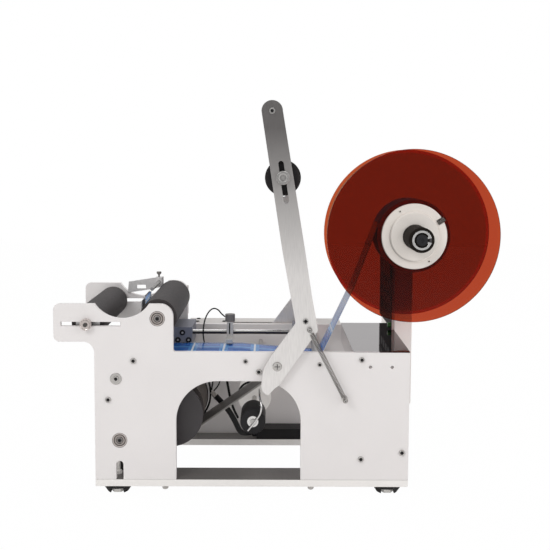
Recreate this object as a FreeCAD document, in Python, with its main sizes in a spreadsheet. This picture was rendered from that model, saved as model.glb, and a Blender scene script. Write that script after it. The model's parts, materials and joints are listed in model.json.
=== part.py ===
# Semi-automatic round-bottle labelling machine, one document, millimetres.
# Sizes are stations on the machine: x runs from the tip of the front tongue to the rear,
# y from the outer face of the near side plate to the far side, z up from the bench.
# The origin is on the bench, in the middle of the machine's length and depth.

import FreeCAD, Part
import math
import os
from types import SimpleNamespace

import Sketcher

V = FreeCAD.Vector

sizes = {
    # side plates and base
    "plate_length": 518,
    "plate_thickness": 8,
    "machine_width": 235,
    "plate_top": 216.5,
    "tongue_top": 286.4,
    "tongue_bottom": 230.8,
    "tongue_reach": 58.7,
    "far_ear_rise": 4.5,
    "ear_end": 173.6,
    "ear_round": 19,
    "tongue_round": 9,
    "throat_round": 16,
    "notch_radius": 47,
    "notch_centre_x": 98.9,
    "notch_depth": 21.4,
    "arch_start": 177.3,
    "arch_end": 359.5,
    "arch_top": 173.4,
    "arch_round": 60,
    "tie_radius": 3.5,
    "spare_hole_inset": 25.7,
    "spare_hole_spacing": 31.6,
    "spare_hole_z": 194.8,
    "spare_hole_radius": 2.5,
    "slot_start": 10.6,
    "slot_end": 97.8,
    "slot_width": 6.3,
    "key_slot_x": 94.6,
    "key_slot_width": 10.5,
    "key_slot_top": 54,
    "foot_height": 16,
    "rail_thickness": 10.4,
    "near_rail_width": 51.8,
    "far_rail_start": 192.6,
    "foot_radius": 20.5,
    "foot_front_x": 88,
    "foot_rear_inset": 28,
    "foot_inset_y": 26,
    "foot_stud_radius": 3,
    "foot_nut_across": 17,
    "foot_nut_height": 9,
    # bottle rollers
    "roller_gap": 4,
    "front_x": 47.8,
    "front_z": 256.9,
    "front_radius": 23.7,
    "front_axle_radius": 3,
    "front_nut_radius": 8.5,
    "driven_x": 150.6,
    "driven_z": 265,
    "driven_radius": 27,
    "rubber_thickness": 6,
    "bearing_radius": 11,
    "bearing_width": 7,
    "journal_radius": 4,
    # press arm
    "arm_gap": 4,
    "arm_thickness": 6,
    "arm_pivot_x": 324.7,
    "arm_pivot_z": 197.8,
    "pivot_radius": 5,
    "arm_top_back": 8.9,
    "arm_top_rise": 366.2,
    "arm_slot_ahead": 3.9,
    "arm_slot_rise": 292,
    "arm_slot_length": 53,
    "arm_slot_radius": 3.8,
    "arm_slot_lean": 8.4,
    "arm_end_radius": 15.2,
    "press_drop": 20.3,
    "press_radius": 25.8,
    "press_axle_radius": 3.7,
    "press_knob_radius": 10,
    "press_knob_length": 10,
    "bar_radius": 5,
    "screw_head_radius": 4.3,
    "low_bar_ahead": 40.5,
    "low_bar_rise": 66.2,
    "spring_top_ahead": 46.3,
    "spring_top_rise": 54.2,
    "spring_low_inset": 94.6,
    "spring_low_z": 148.8,
    "spring_radius": 3.6,
    # reel
    "reel_ahead": 14.5,
    "reel_z": 380.5,
    "disc_radius": 132.5,
    "disc_thickness": 3,
    "near_disc_y": 74,
    "far_disc_y": 148,
    "reel_shaft_radius": 8.5,
    "sleeve_radius": 18.5,
    "flange_radius": 50,
    "flange_thickness": 6,
    "boss_radius": 38,
    "boss_height": 6,
    "clamp_angle": 31,
    "clamp_radius": 4,
    "clamp_start": 40.5,
    "clamp_length": 12,
    "hub_hole_ring": 44,
    "hub_hole_angle": 121,
    "core_radius": 38,
    "core_wall": 3,
    "roll_radius": 56,
    "label_width": 68,
    # label path
    "web_thickness": 0.5,
    "table_top": 200.3,
    "table_thickness": 3,
    "table_start": 168,
    "table_end": 268,
    "table_near_y": 8,
    "table_far_y": 150,
    "guide_inset": 131.4,
    "guide_z": 198.7,
    "guide_radius": 7,
    "slack_behind": 368.1,
    "slack_rise": 33.1,
    "slack_radius": 300,
    "feed_x": 312,
    "feed_z": 168,
    "feed_radius": 9,
    "peel_leg_x": 120.5,
    "peel_thickness": 1.8,
    "peel_tip_z": 284,
    "block_start": 158,
    "block_end": 188,
    "block_bottom": 194,
    "block_top": 225,
    # sensor
    "sensor_rod_radius": 3.7,
    "sensor_rod_y": 158,
    "sensor_rod_z": 216.5,
    "sensor_rod_end": 352,
    "sensor_x": 249,
    "sensor_knob_radius": 8,
    # rewind
    "rewind_x": 164.5,
    "rewind_z": 112.4,
    "rewind_near_y": 40,
    "rewind_flange_radius": 49.4,
    "wound_radius": 48.4,
    "rewind_hub_radius": 20,
    # drive
    "drive_x": 94.6,
    "drive_z": 84.9,
    "pulley_radius": 8,
    "belt_thickness": 1.5,
    "belt_width": 8,
    "motor_radius": 30,
    "feed_motor_x": 340,
    "feed_motor_z": 158,
    "feed_motor_radius": 22,
    "tension_x": 288.8,
    "tension_z": 104,
    "tension_radius": 19,
    "tension_length": 55,
    # covers
    "sheet": 1.5,
    "cover_length": 82.5,
    "housing_depth": 50,
    "arm_slot_start": 246,
    "arm_slot_end": 362,
    "control_thickness": 29,
    "control_near_y": 168.5,
    "control_far_y": 338,
    "control_bottom": 95,
    "control_top": 405,
    "panel_thickness": 4,
    "button_radius": 4.2,
    "button_length": 6.5,
    # bottle stop
    "stop_x": 126,
    "stop_z": 290,
    "stop_rod_radius": 3,
    "stop_near_y": 130,
    # supply box and leads
    "supply_start": 292,
    "supply_end": 370,
    "supply_height": 17.5,
    "lead_radius": 4.5,
    "sensor_lead_radius": 1.1,
}

doc = FreeCAD.newDocument("labelling_machine")
sheet = doc.addObject("Spreadsheet::Sheet", "Sizes")
for row, (alias, amount) in enumerate(sizes.items(), 1):
    sheet.set(f"A{row}", alias)
    sheet.set(f"B{row}", str(amount))
    sheet.setAlias(f"B{row}", alias)
doc.recompute()


class Size:
    """A length with its number and the expression that gives it from the sheet."""

    def __init__(self, number, text):
        self.number = float(number)
        self.text = text

    def __add__(self, other):
        other = as_size(other)
        return Size(self.number + other.number, f"({self.text} + {other.text})")

    def __sub__(self, other):
        other = as_size(other)
        return Size(self.number - other.number, f"({self.text} - {other.text})")

    def __mul__(self, factor):
        factor = as_size(factor)
        return Size(self.number * factor.number, f"({self.text} * {factor.text})")

    def __truediv__(self, factor):
        factor = as_size(factor)
        return Size(self.number / factor.number, f"({self.text} / {factor.text})")

    def __neg__(self):
        return Size(-self.number, f"(0 - {self.text})")

    __radd__ = __add__
    __rmul__ = __mul__

    def __rsub__(self, other):
        return as_size(other) - self


def as_size(value):
    return value if isinstance(value, Size) else Size(value, repr(float(value)))


def number(value):
    return as_size(value).number


s = SimpleNamespace(**{alias: Size(amount, f"Sizes.{alias}") for alias, amount in sizes.items()})

# Places that keep their distance from the rear ends of the plates
s.foot_rear_x = s.plate_length - s.foot_rear_inset
s.spring_low_x = s.plate_length - s.spring_low_inset
s.reel_x = s.plate_length + s.reel_ahead
s.guide_x = s.plate_length - s.guide_inset
s.cover_start = s.plate_length - s.cover_length

# The machine's ends: the reel's rim at the rear, a press knob and the control housing at the sides.
rear_end = s.reel_x + s.disc_radius
near_end = -(s.arm_gap + s.arm_thickness + s.press_knob_length)
origin_x = -(rear_end / 2)
origin_y = -((near_end + s.control_far_y) / 2)

turns = {
    "x": FreeCAD.Rotation(V(0, 1, 0), 90),
    "y": FreeCAD.Rotation(V(1, 0, 0), -90),
    "z": FreeCAD.Rotation(),
}
nodes = []


def node(obj, label):
    obj.Label = label
    nodes.append(obj)
    return obj


def put(obj, x, y, z, turn=None):
    """Place an object at a station of the machine."""
    obj.Placement = FreeCAD.Placement(V(0, 0, 0), turn or FreeCAD.Rotation())
    obj.setExpression(".Placement.Base.x", (origin_x + x).text)
    obj.setExpression(".Placement.Base.y", (origin_y + y).text)
    obj.setExpression(".Placement.Base.z", as_size(z).text)
    return obj


def block(name, x, y, z):
    """A box between two stations each way."""
    obj = doc.addObject("Part::Box", name)
    for prop, (low, high) in zip(("Length", "Width", "Height"), (x, y, z)):
        obj.setExpression(prop, (as_size(high) - low).text)
    return put(obj, x[0], y[0], z[0])


def rod(name, radius, start, length, along="y"):
    obj = doc.addObject("Part::Cylinder", name)
    obj.setExpression("Radius", as_size(radius).text)
    obj.setExpression("Height", as_size(length).text)
    return put(obj, *start, turn=turns[along])


def axle(name, radius, x, z, y):
    """A round bar across the machine between two stations of depth."""
    return rod(name, radius, (x, y[0], z), as_size(y[1]) - y[0])


def hexagon(name, across, start, height, along="z"):
    obj = doc.addObject("Part::Prism", name)
    obj.Polygon = 6
    obj.setExpression("Circumradius", (as_size(across) / math.sqrt(3)).text)
    obj.setExpression("Height", as_size(height).text)
    return put(obj, *start, turn=turns[along])


def fuse(name, parts):
    obj = doc.addObject("Part::MultiFuse", name)
    obj.Shapes = parts
    return obj


def cut(name, base, tools):
    tool = tools[0]
    if len(tools) > 1:
        tool = fuse(name + "_tools", tools)
    obj = doc.addObject("Part::Cut", name)
    obj.Base = base
    obj.Tool = tool
    return obj


def group(name, parts):
    obj = doc.addObject("Part::Compound", name)
    obj.Links = parts
    return obj


def tube(name, outer, inner, x, z, y):
    blank = axle(name + "_outer", outer, x, z, y)
    return cut(name, blank, [axle(name + "_bore", inner, x, z, (y[0] - 1, y[1] + 1))])


def base_plane(body, role):
    return [item for item in body.Origin.OriginFeatures if item.Role == role][0]


def sketch(body, plane, loops, circles=()):
    """Closed loops of corners and circles, each corner held by its two distances from the origin."""
    obj = body.newObject("Sketcher::SketchObject", body.Name + "_sketch")
    obj.AttachmentSupport = [(base_plane(body, plane), "")]
    obj.MapMode = "FlatFace"
    bound = []
    for corners in loops:
        first = obj.GeometryCount
        spots = [V(number(across), number(up), 0) for across, up in corners]
        for i, spot in enumerate(spots):
            obj.addGeometry(Part.LineSegment(spot, spots[(i + 1) % len(spots)]), False)
        for i, (across, up) in enumerate(corners):
            line = first + i
            obj.addConstraint(Sketcher.Constraint("Coincident", line, 2, first + (i + 1) % len(corners), 1))
            for kind, amount in (("DistanceX", across), ("DistanceY", up)):
                index = obj.addConstraint(Sketcher.Constraint(kind, -1, 1, line, 1, number(amount)))
                bound.append((index, f"{kind}_{line}", amount))
    for across, up, radius in circles:
        ring = obj.GeometryCount
        obj.addGeometry(Part.Circle(V(number(across), number(up), 0), V(0, 0, 1), number(radius)), False)
        for kind, amount in (("DistanceX", across), ("DistanceY", up)):
            index = obj.addConstraint(Sketcher.Constraint(kind, -1, 1, ring, 3, number(amount)))
            bound.append((index, f"{kind}_{ring}", amount))
        index = obj.addConstraint(Sketcher.Constraint("Radius", ring, number(radius)))
        bound.append((index, f"Radius_{ring}", radius))
    for index, name, amount in bound:
        obj.renameConstraint(index, name)
        if isinstance(amount, Size):
            obj.setExpression(f"Constraints.{name}", amount.text)
    return obj


def rounded(body, feature, rounds):
    """Round the edges across the machine that stand at the given corners."""
    for radius in sorted({number(r): r for _, _, r in rounds}.values(), key=number, reverse=True):
        spots = [(number(x), number(z)) for x, z, r in rounds if number(r) == number(radius)]
        doc.recompute()
        names = []
        for i, edge in enumerate(feature.Shape.Edges, 1):
            ends = [vertex.Point for vertex in edge.Vertexes]
            if len(ends) != 2 or math.hypot(ends[0].x - ends[1].x, ends[0].z - ends[1].z) > 0.01:
                continue
            if any(math.hypot(ends[0].x - x, ends[0].z - z) < 0.05 for x, z in spots):
                names.append(f"Edge{i}")
        fillet = body.newObject("PartDesign::Fillet", body.Name + "_round")
        fillet.Base = (feature, names)
        fillet.setExpression("Radius", as_size(radius).text)
        feature = fillet
    return feature


def profile(name, corners, y, rounds=(), circles=(), holes=()):
    """A plate across the machine: an outline in x and z, padded between two stations of depth."""
    body = doc.addObject("PartDesign::Body", name)
    outline = sketch(body, "XZ_Plane", [corners, *holes], circles)
    pad = body.newObject("PartDesign::Pad", name + "_pad")
    pad.Profile = outline
    pad.setExpression("Length", (as_size(y[1]) - y[0]).text)
    if rounds:
        rounded(body, pad, rounds)
    put(body, as_size(0), y[1], as_size(0))
    return body


def turned(name, corners, start, along="y"):
    """A turned piece: corners of (radius, distance along the axis) spun about the axis from the start."""
    body = doc.addObject("PartDesign::Body", name)
    outline = sketch(body, "XZ_Plane", [corners])
    spin = body.newObject("PartDesign::Revolution", name + "_spin")
    spin.Profile = outline
    spin.ReferenceAxis = (outline, ["V_Axis"])
    spin.Angle = 360
    put(body, *start, turn=turns[along])
    return body


inner_near = s.plate_thickness
inner_far = s.machine_width - s.plate_thickness
roller_near = inner_near + s.roller_gap
roller_far = inner_far - s.roller_gap
rail_top = s.foot_height + s.rail_thickness
housing_far = s.machine_width + s.housing_depth
near_arm = (-(s.arm_gap + s.arm_thickness), -s.arm_gap)
far_arm = (s.machine_width + s.arm_gap, s.machine_width + s.arm_gap + s.arm_thickness)

# Tie rods and the screws that show on both plates: x, z
tie_spots = [
    (78.5, 145.6),
    (90.1, 176.6),
    (115.6, 203.2),
    (298.0, 187.6),
    (s.plate_length - 9.8, 68.0),
    (s.plate_length - 70.0, 58.0),
]
wide_head = 1
spare_hole_x = s.plate_length - s.spare_hole_inset
spare_holes = [(spare_hole_x - s.spare_hole_spacing, s.spare_hole_z), (spare_hole_x, s.spare_hole_z)]


def side_plate(name, y, ear_top, near):
    slot_low = s.front_z - s.slot_width / 2
    slot_high = s.front_z + s.slot_width / 2
    foot = [(s.tongue_reach, rail_top)]
    if near:
        foot = [
            (s.tongue_reach, rail_top),
            (s.arch_start, rail_top),
            (s.arch_start, s.arch_top),
            (s.arch_end, s.arch_top),
            (s.arch_end, rail_top),
        ]
    notch_end = s.notch_centre_x + s.notch_radius / 2
    step = [] if near else [(notch_end, ear_top), (notch_end, s.tongue_top)]
    corners = [
        *foot,
        (s.plate_length, rail_top),
        (s.plate_length, s.plate_top),
        (s.ear_end, s.plate_top),
        (s.ear_end, ear_top),
        *step,
        (0, s.tongue_top),
        (0, s.tongue_bottom),
        (s.tongue_reach, s.tongue_bottom),
    ]
    rounds = [
        (s.ear_end, ear_top, s.ear_round),
        (as_size(0), s.tongue_top, s.tongue_round),
        (as_size(0), s.tongue_bottom, s.tongue_round),
        (s.tongue_reach, s.tongue_bottom, s.throat_round),
        (s.ear_end, s.plate_top, 3),
        (s.plate_length, s.plate_top, 3),
    ]
    if near:
        rounds += [(s.arch_start, s.arch_top, s.arch_round), (s.arch_end, s.arch_top, s.arch_round)]
    slot = [
        (s.slot_start, slot_low),
        (s.slot_end, slot_low),
        (s.slot_end, slot_high),
        (s.slot_start, slot_high),
    ]
    circles = [(s.driven_x, s.driven_z, s.bearing_radius), (s.drive_x, s.drive_z, s.bearing_radius)]
    circles += [(x, z, s.spare_hole_radius) for x, z in spare_holes]
    plate = profile(name + "_blank", corners, y, rounds, circles, [slot])
    span = (y[0] - 1, y[1] + 1)
    notch_z = s.tongue_top - s.notch_depth + s.notch_radius
    tools = [axle(name + "_notch", s.notch_radius, s.notch_centre_x, notch_z, span)]
    if near:
        half = s.key_slot_width / 2
        key_z = s.key_slot_top - half
        tools.append(axle(name + "_key", half, s.key_slot_x, key_z, span))
        key_x = (s.key_slot_x - half, s.key_slot_x + half)
        tools.append(block(name + "_keyway", key_x, span, (rail_top - 1, key_z)))
    return node(cut(name, plate, tools), name)


side_plate("near_side_plate", (as_size(0), inner_near), s.tongue_top, True)
side_plate("far_side_plate", (inner_far, s.machine_width), s.tongue_top + s.far_ear_rise, False)

# Base rails, feet and the screws under them
rails_x = (s.tongue_reach, s.plate_length)
rails_z = (s.foot_height, rail_top)
far_foot_y = housing_far - s.foot_inset_y
feet = [(x, y) for x in (s.foot_front_x, s.foot_rear_x) for y in (s.foot_inset_y, far_foot_y)]


def rail(name, y, foot_y):
    base = block(name + "_bar", rails_x, y, rails_z)
    holes = []
    for i, x in enumerate((s.foot_front_x, s.foot_rear_x)):
        start = (x, foot_y, s.foot_height - 1)
        holes.append(rod(f"{name}_hole_{i}", s.foot_stud_radius, start, s.rail_thickness + 2, "z"))
    return cut(name, base, holes)


near_rail = rail("near_rail", (as_size(0), s.near_rail_width), s.foot_inset_y)
far_rail = rail("far_rail", (s.far_rail_start, housing_far), far_foot_y)
node(group("base_rails", [near_rail, far_rail]), "base_rails")

# Each foot is a rubber dome, open in front of the nut that is set in it
stud = s.foot_stud_radius
washer_thickness = 3.5
dome_top = s.foot_height - washer_thickness
dome = [
    (stud, 0),
    (s.foot_radius - 7.5, 0),
    (s.foot_radius - 5, 1.5),
    (s.foot_radius, 9),
    (s.foot_radius, dome_top),
    (stud, dome_top),
]
set_in = 0.6
nut_half = s.foot_nut_across / math.sqrt(3)
pads = []
studs = []
for i, (x, y) in enumerate(feet):
    nut_top = set_in + s.foot_nut_height
    window = block(f"foot_window_{i}", (x - nut_half, x + nut_half), (y - s.foot_radius, y), (-1, nut_top))
    pocket = hexagon(f"foot_pocket_{i}", s.foot_nut_across, (x, y, -1), nut_top + 1)
    pads.append(cut(f"foot_pad_{i}", turned(f"foot_dome_{i}", dome, (x, y, 0), "z"), [window, pocket]))
    sunk = hexagon(f"foot_set_nut_{i}", s.foot_nut_across, (x, y, set_in), s.foot_nut_height)
    washer = rod(f"foot_washer_{i}", 8, (x, y, dome_top), washer_thickness, "z")
    lock = hexagon(f"foot_nut_{i}", 10, (x, y, rail_top), 5)
    stem = rod(f"foot_stem_{i}", stud, (x, y, set_in), rail_top + 22, "z")
    studs.append(fuse(f"foot_stud_{i}", [sunk, washer, lock, stem]))
node(group("rubber_feet", pads), "rubber_feet")
node(group("foot_studs", studs), "foot_studs")

under = []
screw_drop = 4.8
button_head = [(0, 0), (2.5, 0), (4.5, 2), (4.5, screw_drop), (0, screw_drop)]
for i, x in enumerate((as_size(160.8), s.plate_length - 143)):
    for j, y in enumerate((s.plate_thickness / 2, s.machine_width - s.plate_thickness / 2)):
        under.append(turned(f"rail_screw_{i}_{j}", button_head, (x, y, s.foot_height - screw_drop), "z"))

# Tie rods between the plates, and the screws in their ends
bars = []
near_heads = []
far_heads = []
head_y = (as_size(-2.6), as_size(0))
far_head_y = (s.machine_width, s.machine_width + 2.6)
for i, (x, z) in enumerate(tie_spots):
    near_radius = s.screw_head_radius * 2 if i == wide_head else s.screw_head_radius
    bars.append(axle(f"tie_{i}", s.tie_radius, x, z, (inner_near, inner_far)))
    near_heads.append(axle(f"near_head_{i}", near_radius, x, z, head_y))
    far_heads.append(axle(f"far_head_{i}", s.screw_head_radius, x, z, far_head_y))
for i, (x, z) in enumerate([(278.6, 203.1), (s.guide_x, s.guide_z)]):
    near_heads.append(axle(f"near_small_head_{i}", 3.5, x, z, head_y))

# Ball bearings of the driven roller and the drive shaft, flush in both plates
rings = []
ring_edge = (s.plate_thickness - s.bearing_width) / 2
near_ring_y = (ring_edge, ring_edge + s.bearing_width)
far_ring_y = (inner_far + ring_edge, inner_far + ring_edge + s.bearing_width)
for i, (x, z) in enumerate([(s.driven_x, s.driven_z), (s.drive_x, s.drive_z)]):
    rings.append(tube(f"near_bearing_{i}", s.bearing_radius, s.journal_radius, x, z, near_ring_y))
    rings.append(tube(f"far_bearing_{i}", s.bearing_radius, s.journal_radius, x, z, far_ring_y))
node(group("ball_bearings", rings), "ball_bearings")


def rubber(name, radius, x, z, y):
    return node(tube(name, radius, radius - s.rubber_thickness, x, z, y), name)


# Driven roller: rubber on a core with journals, and the pulley outside the far plate
fit = 0.04
journal = s.journal_radius - fit
pulley_y = (s.machine_width + 2, s.machine_width + 2 + s.belt_width + 2)


def pulley(name, x, z, y, bore):
    """A pulley with a rim at both sides of the belt, open at its bore."""
    rim = s.pulley_radius + 2
    return turned(
        name + "_wheel",
        [
            (bore, 0),
            (rim, 0),
            (rim, 1),
            (s.pulley_radius, 1),
            (s.pulley_radius, s.belt_width + 1),
            (rim, s.belt_width + 1),
            (rim, s.belt_width + 2),
            (bore, s.belt_width + 2),
        ],
        (x, y, z),
    )


def belt(name, first, second, y, radius=None):
    """A flat belt round two pulleys of one radius: two capsules, the inner cut from the outer."""
    radius = radius or s.pulley_radius
    (x0, z0), (x1, z1) = first, second
    run = math.hypot(number(x1) - number(x0), number(z1) - number(z0))
    lean = math.degrees(math.atan2(number(x1) - number(x0), number(z1) - number(z0)))
    shapes = []
    for grow in (s.belt_thickness, 0):
        wide = radius + grow
        depth = as_size(y[1]) - y[0]
        flat = Part.makeBox(number(wide) * 2, number(depth), run, V(-number(wide), 0, 0))
        ends = [Part.makeCylinder(number(wide), number(depth), V(0, 0, up), V(0, 1, 0)) for up in (0, run)]
        shapes.append(flat.multiFuse(ends).removeSplitter())
    obj = doc.addObject("Part::Feature", name)
    obj.Shape = shapes[0].cut(shapes[1])
    put(obj, x0, y[0], z0, turn=FreeCAD.Rotation(V(0, 1, 0), lean))
    return node(obj, name)


core = s.driven_radius - s.rubber_thickness
shoulder = journal + 3
steps = [
    (0, 0),
    (journal, 0),
    (journal, roller_near - 1),
    (shoulder, roller_near - 1),
    (shoulder, roller_near),
    (core, roller_near),
    (core, roller_far),
    (shoulder, roller_far),
    (shoulder, roller_far + 3),
    (journal, roller_far + 3),
    (journal, pulley_y[1]),
    (0, pulley_y[1]),
]
driven_core = turned("driven_core", steps, (s.driven_x, as_size(0), s.driven_z))
driven_wheel = pulley("driven_wheel", s.driven_x, s.driven_z, pulley_y[0], journal)
node(fuse("driven_roller_core", [driven_core, driven_wheel]), "driven_roller_core")
rubber("driven_roller_rubber", s.driven_radius, s.driven_x, s.driven_z, (roller_near, roller_far))

# Front roller, which turns on an axle that slides and clamps in the slots
front = (s.front_x, s.front_z)
bore = s.front_axle_radius + fit
roller_y = (roller_near, roller_far)
front_core = tube("front_roller_core", s.front_radius - s.rubber_thickness, bore, *front, roller_y)
node(front_core, "front_roller_core")
rubber("front_roller_rubber", s.front_radius, *front, roller_y)
collar = s.front_axle_radius + 4
collars = [
    tube("front_collar_near", collar, s.front_axle_radius, *front, (inner_near + 0.3, roller_near - 0.4)),
    tube("front_collar_far", collar, s.front_axle_radius, *front, (roller_far + 0.4, inner_far - 0.3)),
]
front_rod = axle("front_rod", s.front_axle_radius, *front, (as_size(-10), s.machine_width + 10))
front_bar = fuse("front_bar", [front_rod, *collars])
knurled = []
for side, start in (("near", as_size(-8)), ("far", s.machine_width)):
    nut_y = (start + 0.3, start + 7.7)
    knurled.append(tube(f"front_nut_{side}", s.front_nut_radius, s.front_axle_radius, *front, nut_y))
node(group("front_axle", [front_bar, *knurled]), "front_axle")

# Press arm: dog-leg plate, the same on both sides
arm_top = (s.arm_pivot_x - s.arm_top_back, s.arm_pivot_z + s.arm_top_rise)
slot_top = (s.arm_pivot_x + s.arm_slot_ahead, s.arm_pivot_z + s.arm_slot_rise)
low_bar = (s.arm_pivot_x + s.low_bar_ahead, s.arm_pivot_z + s.low_bar_rise)
spring_top = (s.arm_pivot_x + s.spring_top_ahead, s.arm_pivot_z + s.spring_top_rise)
end_round = s.arm_end_radius - 0.1
# Corners of the arm from its pivot, counter-clockwise from the top, each with its rounding
arm_outline = [
    (-(s.arm_top_back + s.arm_end_radius), s.arm_top_rise + s.arm_end_radius, end_round),
    (-(s.arm_top_back + s.arm_end_radius), s.arm_top_rise, 0),
    (6.3, 169.0, 0),
    (26.2, 62.7, 6),
    (-9.7, 14.2, 60),
    (-20.7, -5.8, 30),
    (-23.9, -36.8, 14),
    (-12.7, -43.2, 3.5),
    (-4.7, -33.3, 0),
    (1.8, -28.8, 4),
    (58.7, 52.6, 6),
    (49.3, 102.7, 0),
    (39.0, 169.0, 0),
    (s.arm_end_radius - s.arm_top_back, s.arm_top_rise, 0),
    (s.arm_end_radius - s.arm_top_back, s.arm_top_rise + s.arm_end_radius, end_round),
]


def press_arm(name, y):
    corners = [(s.arm_pivot_x + across, s.arm_pivot_z + up) for across, up, _ in arm_outline]
    rounds = [(*corners[i], as_size(r)) for i, (_, _, r) in enumerate(arm_outline) if number(r)]
    circles = [(s.arm_pivot_x, s.arm_pivot_z, s.pivot_radius + 0.05)]
    blank = profile(name + "_blank", corners, y, rounds, circles)
    depth = as_size(y[1]) - y[0] + 2
    lean = FreeCAD.Rotation(V(0, 1, 0), 180 - sizes["arm_slot_lean"])
    slot = doc.addObject("Part::Box", name + "_slot")
    slot.setExpression("Length", (s.arm_slot_radius * 2).text)
    slot.setExpression("Width", depth.text)
    slot.setExpression("Height", s.arm_slot_length.text)
    across = sizes["arm_slot_radius"] * math.cos(math.radians(sizes["arm_slot_lean"]))
    up = sizes["arm_slot_radius"] * math.sin(math.radians(sizes["arm_slot_lean"]))
    put(slot, slot_top[0] + across, y[0] - 1, slot_top[1] + up, turn=lean)
    run = sizes["arm_slot_length"]
    lean_x = run * math.sin(math.radians(sizes["arm_slot_lean"]))
    lean_z = run * math.cos(math.radians(sizes["arm_slot_lean"]))
    span = (y[0] - 1, y[1] + 1)
    ends = [
        axle(name + "_slot_top", s.arm_slot_radius, *slot_top, span),
        axle(name + "_slot_low", s.arm_slot_radius, slot_top[0] + lean_x, slot_top[1] - lean_z, span),
    ]
    return node(cut(name, blank, [slot, *ends]), name)


press_arm("near_press_arm", near_arm)
press_arm("far_press_arm", far_arm)
between_arms = (near_arm[1], far_arm[0])
handle_bar = axle("arm_handle_bar", s.bar_radius + 1, *arm_top, between_arms)
lower_bar = axle("arm_lower_bar", s.bar_radius, *low_bar, between_arms)

heads = []
for i, spot in enumerate([arm_top, low_bar]):
    heads.append(axle(f"arm_head_near_{i}", s.screw_head_radius, *spot, (near_arm[0] - 2.5, near_arm[0])))
    heads.append(axle(f"arm_head_far_{i}", s.screw_head_radius, *spot, (far_arm[1], far_arm[1] + 2.5)))
post_radius = 2.5
arm_post = axle("spring_arm_post", post_radius, *spring_top, (near_arm[0] - 9, near_arm[0]))
node(group("arm_bars", [handle_bar, lower_bar, arm_post, *heads]), "arm_bars")

pivots = []
for side, face, quarter in (("near", as_size(0), 90), ("far", s.machine_width, -90)):
    steps = [
        (0, 0),
        (s.pivot_radius + 3, 0),
        (s.pivot_radius + 3, s.arm_gap - 0.3),
        (s.pivot_radius, s.arm_gap - 0.3),
        (s.pivot_radius, s.arm_gap + s.arm_thickness + 0.3),
        (s.pivot_radius + 1.8, s.arm_gap + s.arm_thickness + 0.3),
        (s.pivot_radius + 1.8, s.arm_gap + s.arm_thickness + 2.5),
        (0, s.arm_gap + s.arm_thickness + 2.5),
    ]
    bolt = turned(f"arm_pivot_{side}", steps, (s.arm_pivot_x, face, s.arm_pivot_z))
    bolt.Placement = FreeCAD.Placement(bolt.Placement.Base, FreeCAD.Rotation(V(1, 0, 0), quarter))
    pivots.append(bolt)

# Press roller on its axle, which clamps in the arms' slots
lean = math.radians(sizes["arm_slot_lean"])
press_x = slot_top[0] + s.press_drop * math.sin(lean)
press_z = slot_top[1] - s.press_drop * math.cos(lean)
press = (press_x, press_z)
press_near = near_arm[1] + s.roller_gap
press_far = far_arm[0] - s.roller_gap
press_y = (press_near, press_far)
press_core = s.press_radius - s.rubber_thickness
node(tube("press_roller_core", press_core, s.press_axle_radius + fit, *press, press_y), "press_roller_core")
rubber("press_roller_rubber", s.press_radius, *press, press_y)
press_span = (near_arm[0] - 4, far_arm[1] + 4)
press_rod = axle("press_rod", s.press_axle_radius, *press, press_span)
collar = s.press_axle_radius + 4
collars = [
    tube("press_collar_near", collar, s.press_axle_radius, *press, (near_arm[1] + 0.3, press_near - 0.4)),
    tube("press_collar_far", collar, s.press_axle_radius, *press, (press_far + 0.4, far_arm[0] - 0.3)),
]
press_bar = fuse("press_bar", [press_rod, *collars])
grips = []
for side, start in (("near", near_arm[0] - s.press_knob_length), ("far", far_arm[1] + 0.3)):
    steps = [
        (0, 0),
        (s.press_knob_radius - 1, 0),
        (s.press_knob_radius, 1),
        (s.press_knob_radius, s.press_knob_length - 1.3),
        (s.press_knob_radius - 1, s.press_knob_length - 0.3),
        (0, s.press_knob_length - 0.3),
    ]
    knob = turned(f"press_knob_{side}", steps, (press_x, start, press_z))
    hole = axle(f"press_knob_hole_{side}", s.press_axle_radius, *press, press_span)
    grips.append(cut(f"press_knob_bored_{side}", knob, [hole]))
node(group("press_axle", [press_bar, *grips]), "press_axle")

# Tension spring between a post on the plate and one on the arm
down = V(number(s.spring_low_x - spring_top[0]), 0, number(s.spring_low_z - spring_top[1]))
angle = math.degrees(math.atan2(down.x, down.z))
spring_y = near_arm[0] - 5
spring = doc.addObject("Part::Cylinder", "tension_spring")
spring.setExpression("Radius", s.spring_radius.text)
spring.Height = down.Length - 2 * post_radius
down.normalize()
spring_start = (spring_top[0] + post_radius * down.x, spring_y, spring_top[1] + post_radius * down.z)
put(spring, *spring_start, turn=FreeCAD.Rotation(V(0, 1, 0), angle))
node(spring, "tension_spring")
post_y = (near_arm[0] - 9, as_size(0))
plate_post = axle("spring_plate_post", post_radius, s.spring_low_x, s.spring_low_z, post_y)
node(group("plate_screws", [*near_heads, *far_heads, *under, *pivots, plate_post]), "plate_screws")

# Reel: a fixed shaft on the control housing, a sleeve that turns on it, two discs with hubs
reel = (s.reel_x, s.reel_z)
shaft_tip = as_size(-1)
pin = axle("reel_pin", s.reel_shaft_radius, *reel, (shaft_tip, s.control_near_y))
clip = tube("reel_clip", s.reel_shaft_radius + 4, s.reel_shaft_radius, *reel, (as_size(0), as_size(1.7)))
node(group("reel_shaft", [pin, clip]), "reel_shaft")
sleeve_y = (as_size(2), s.control_near_y - 2)
node(tube("reel_sleeve", s.sleeve_radius, s.reel_shaft_radius + 0.05, *reel, sleeve_y), "reel_sleeve")


def disc(name, y):
    return node(tube(name, s.disc_radius, s.core_radius - 2, *reel, (y, y + s.disc_thickness)), name)


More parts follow.
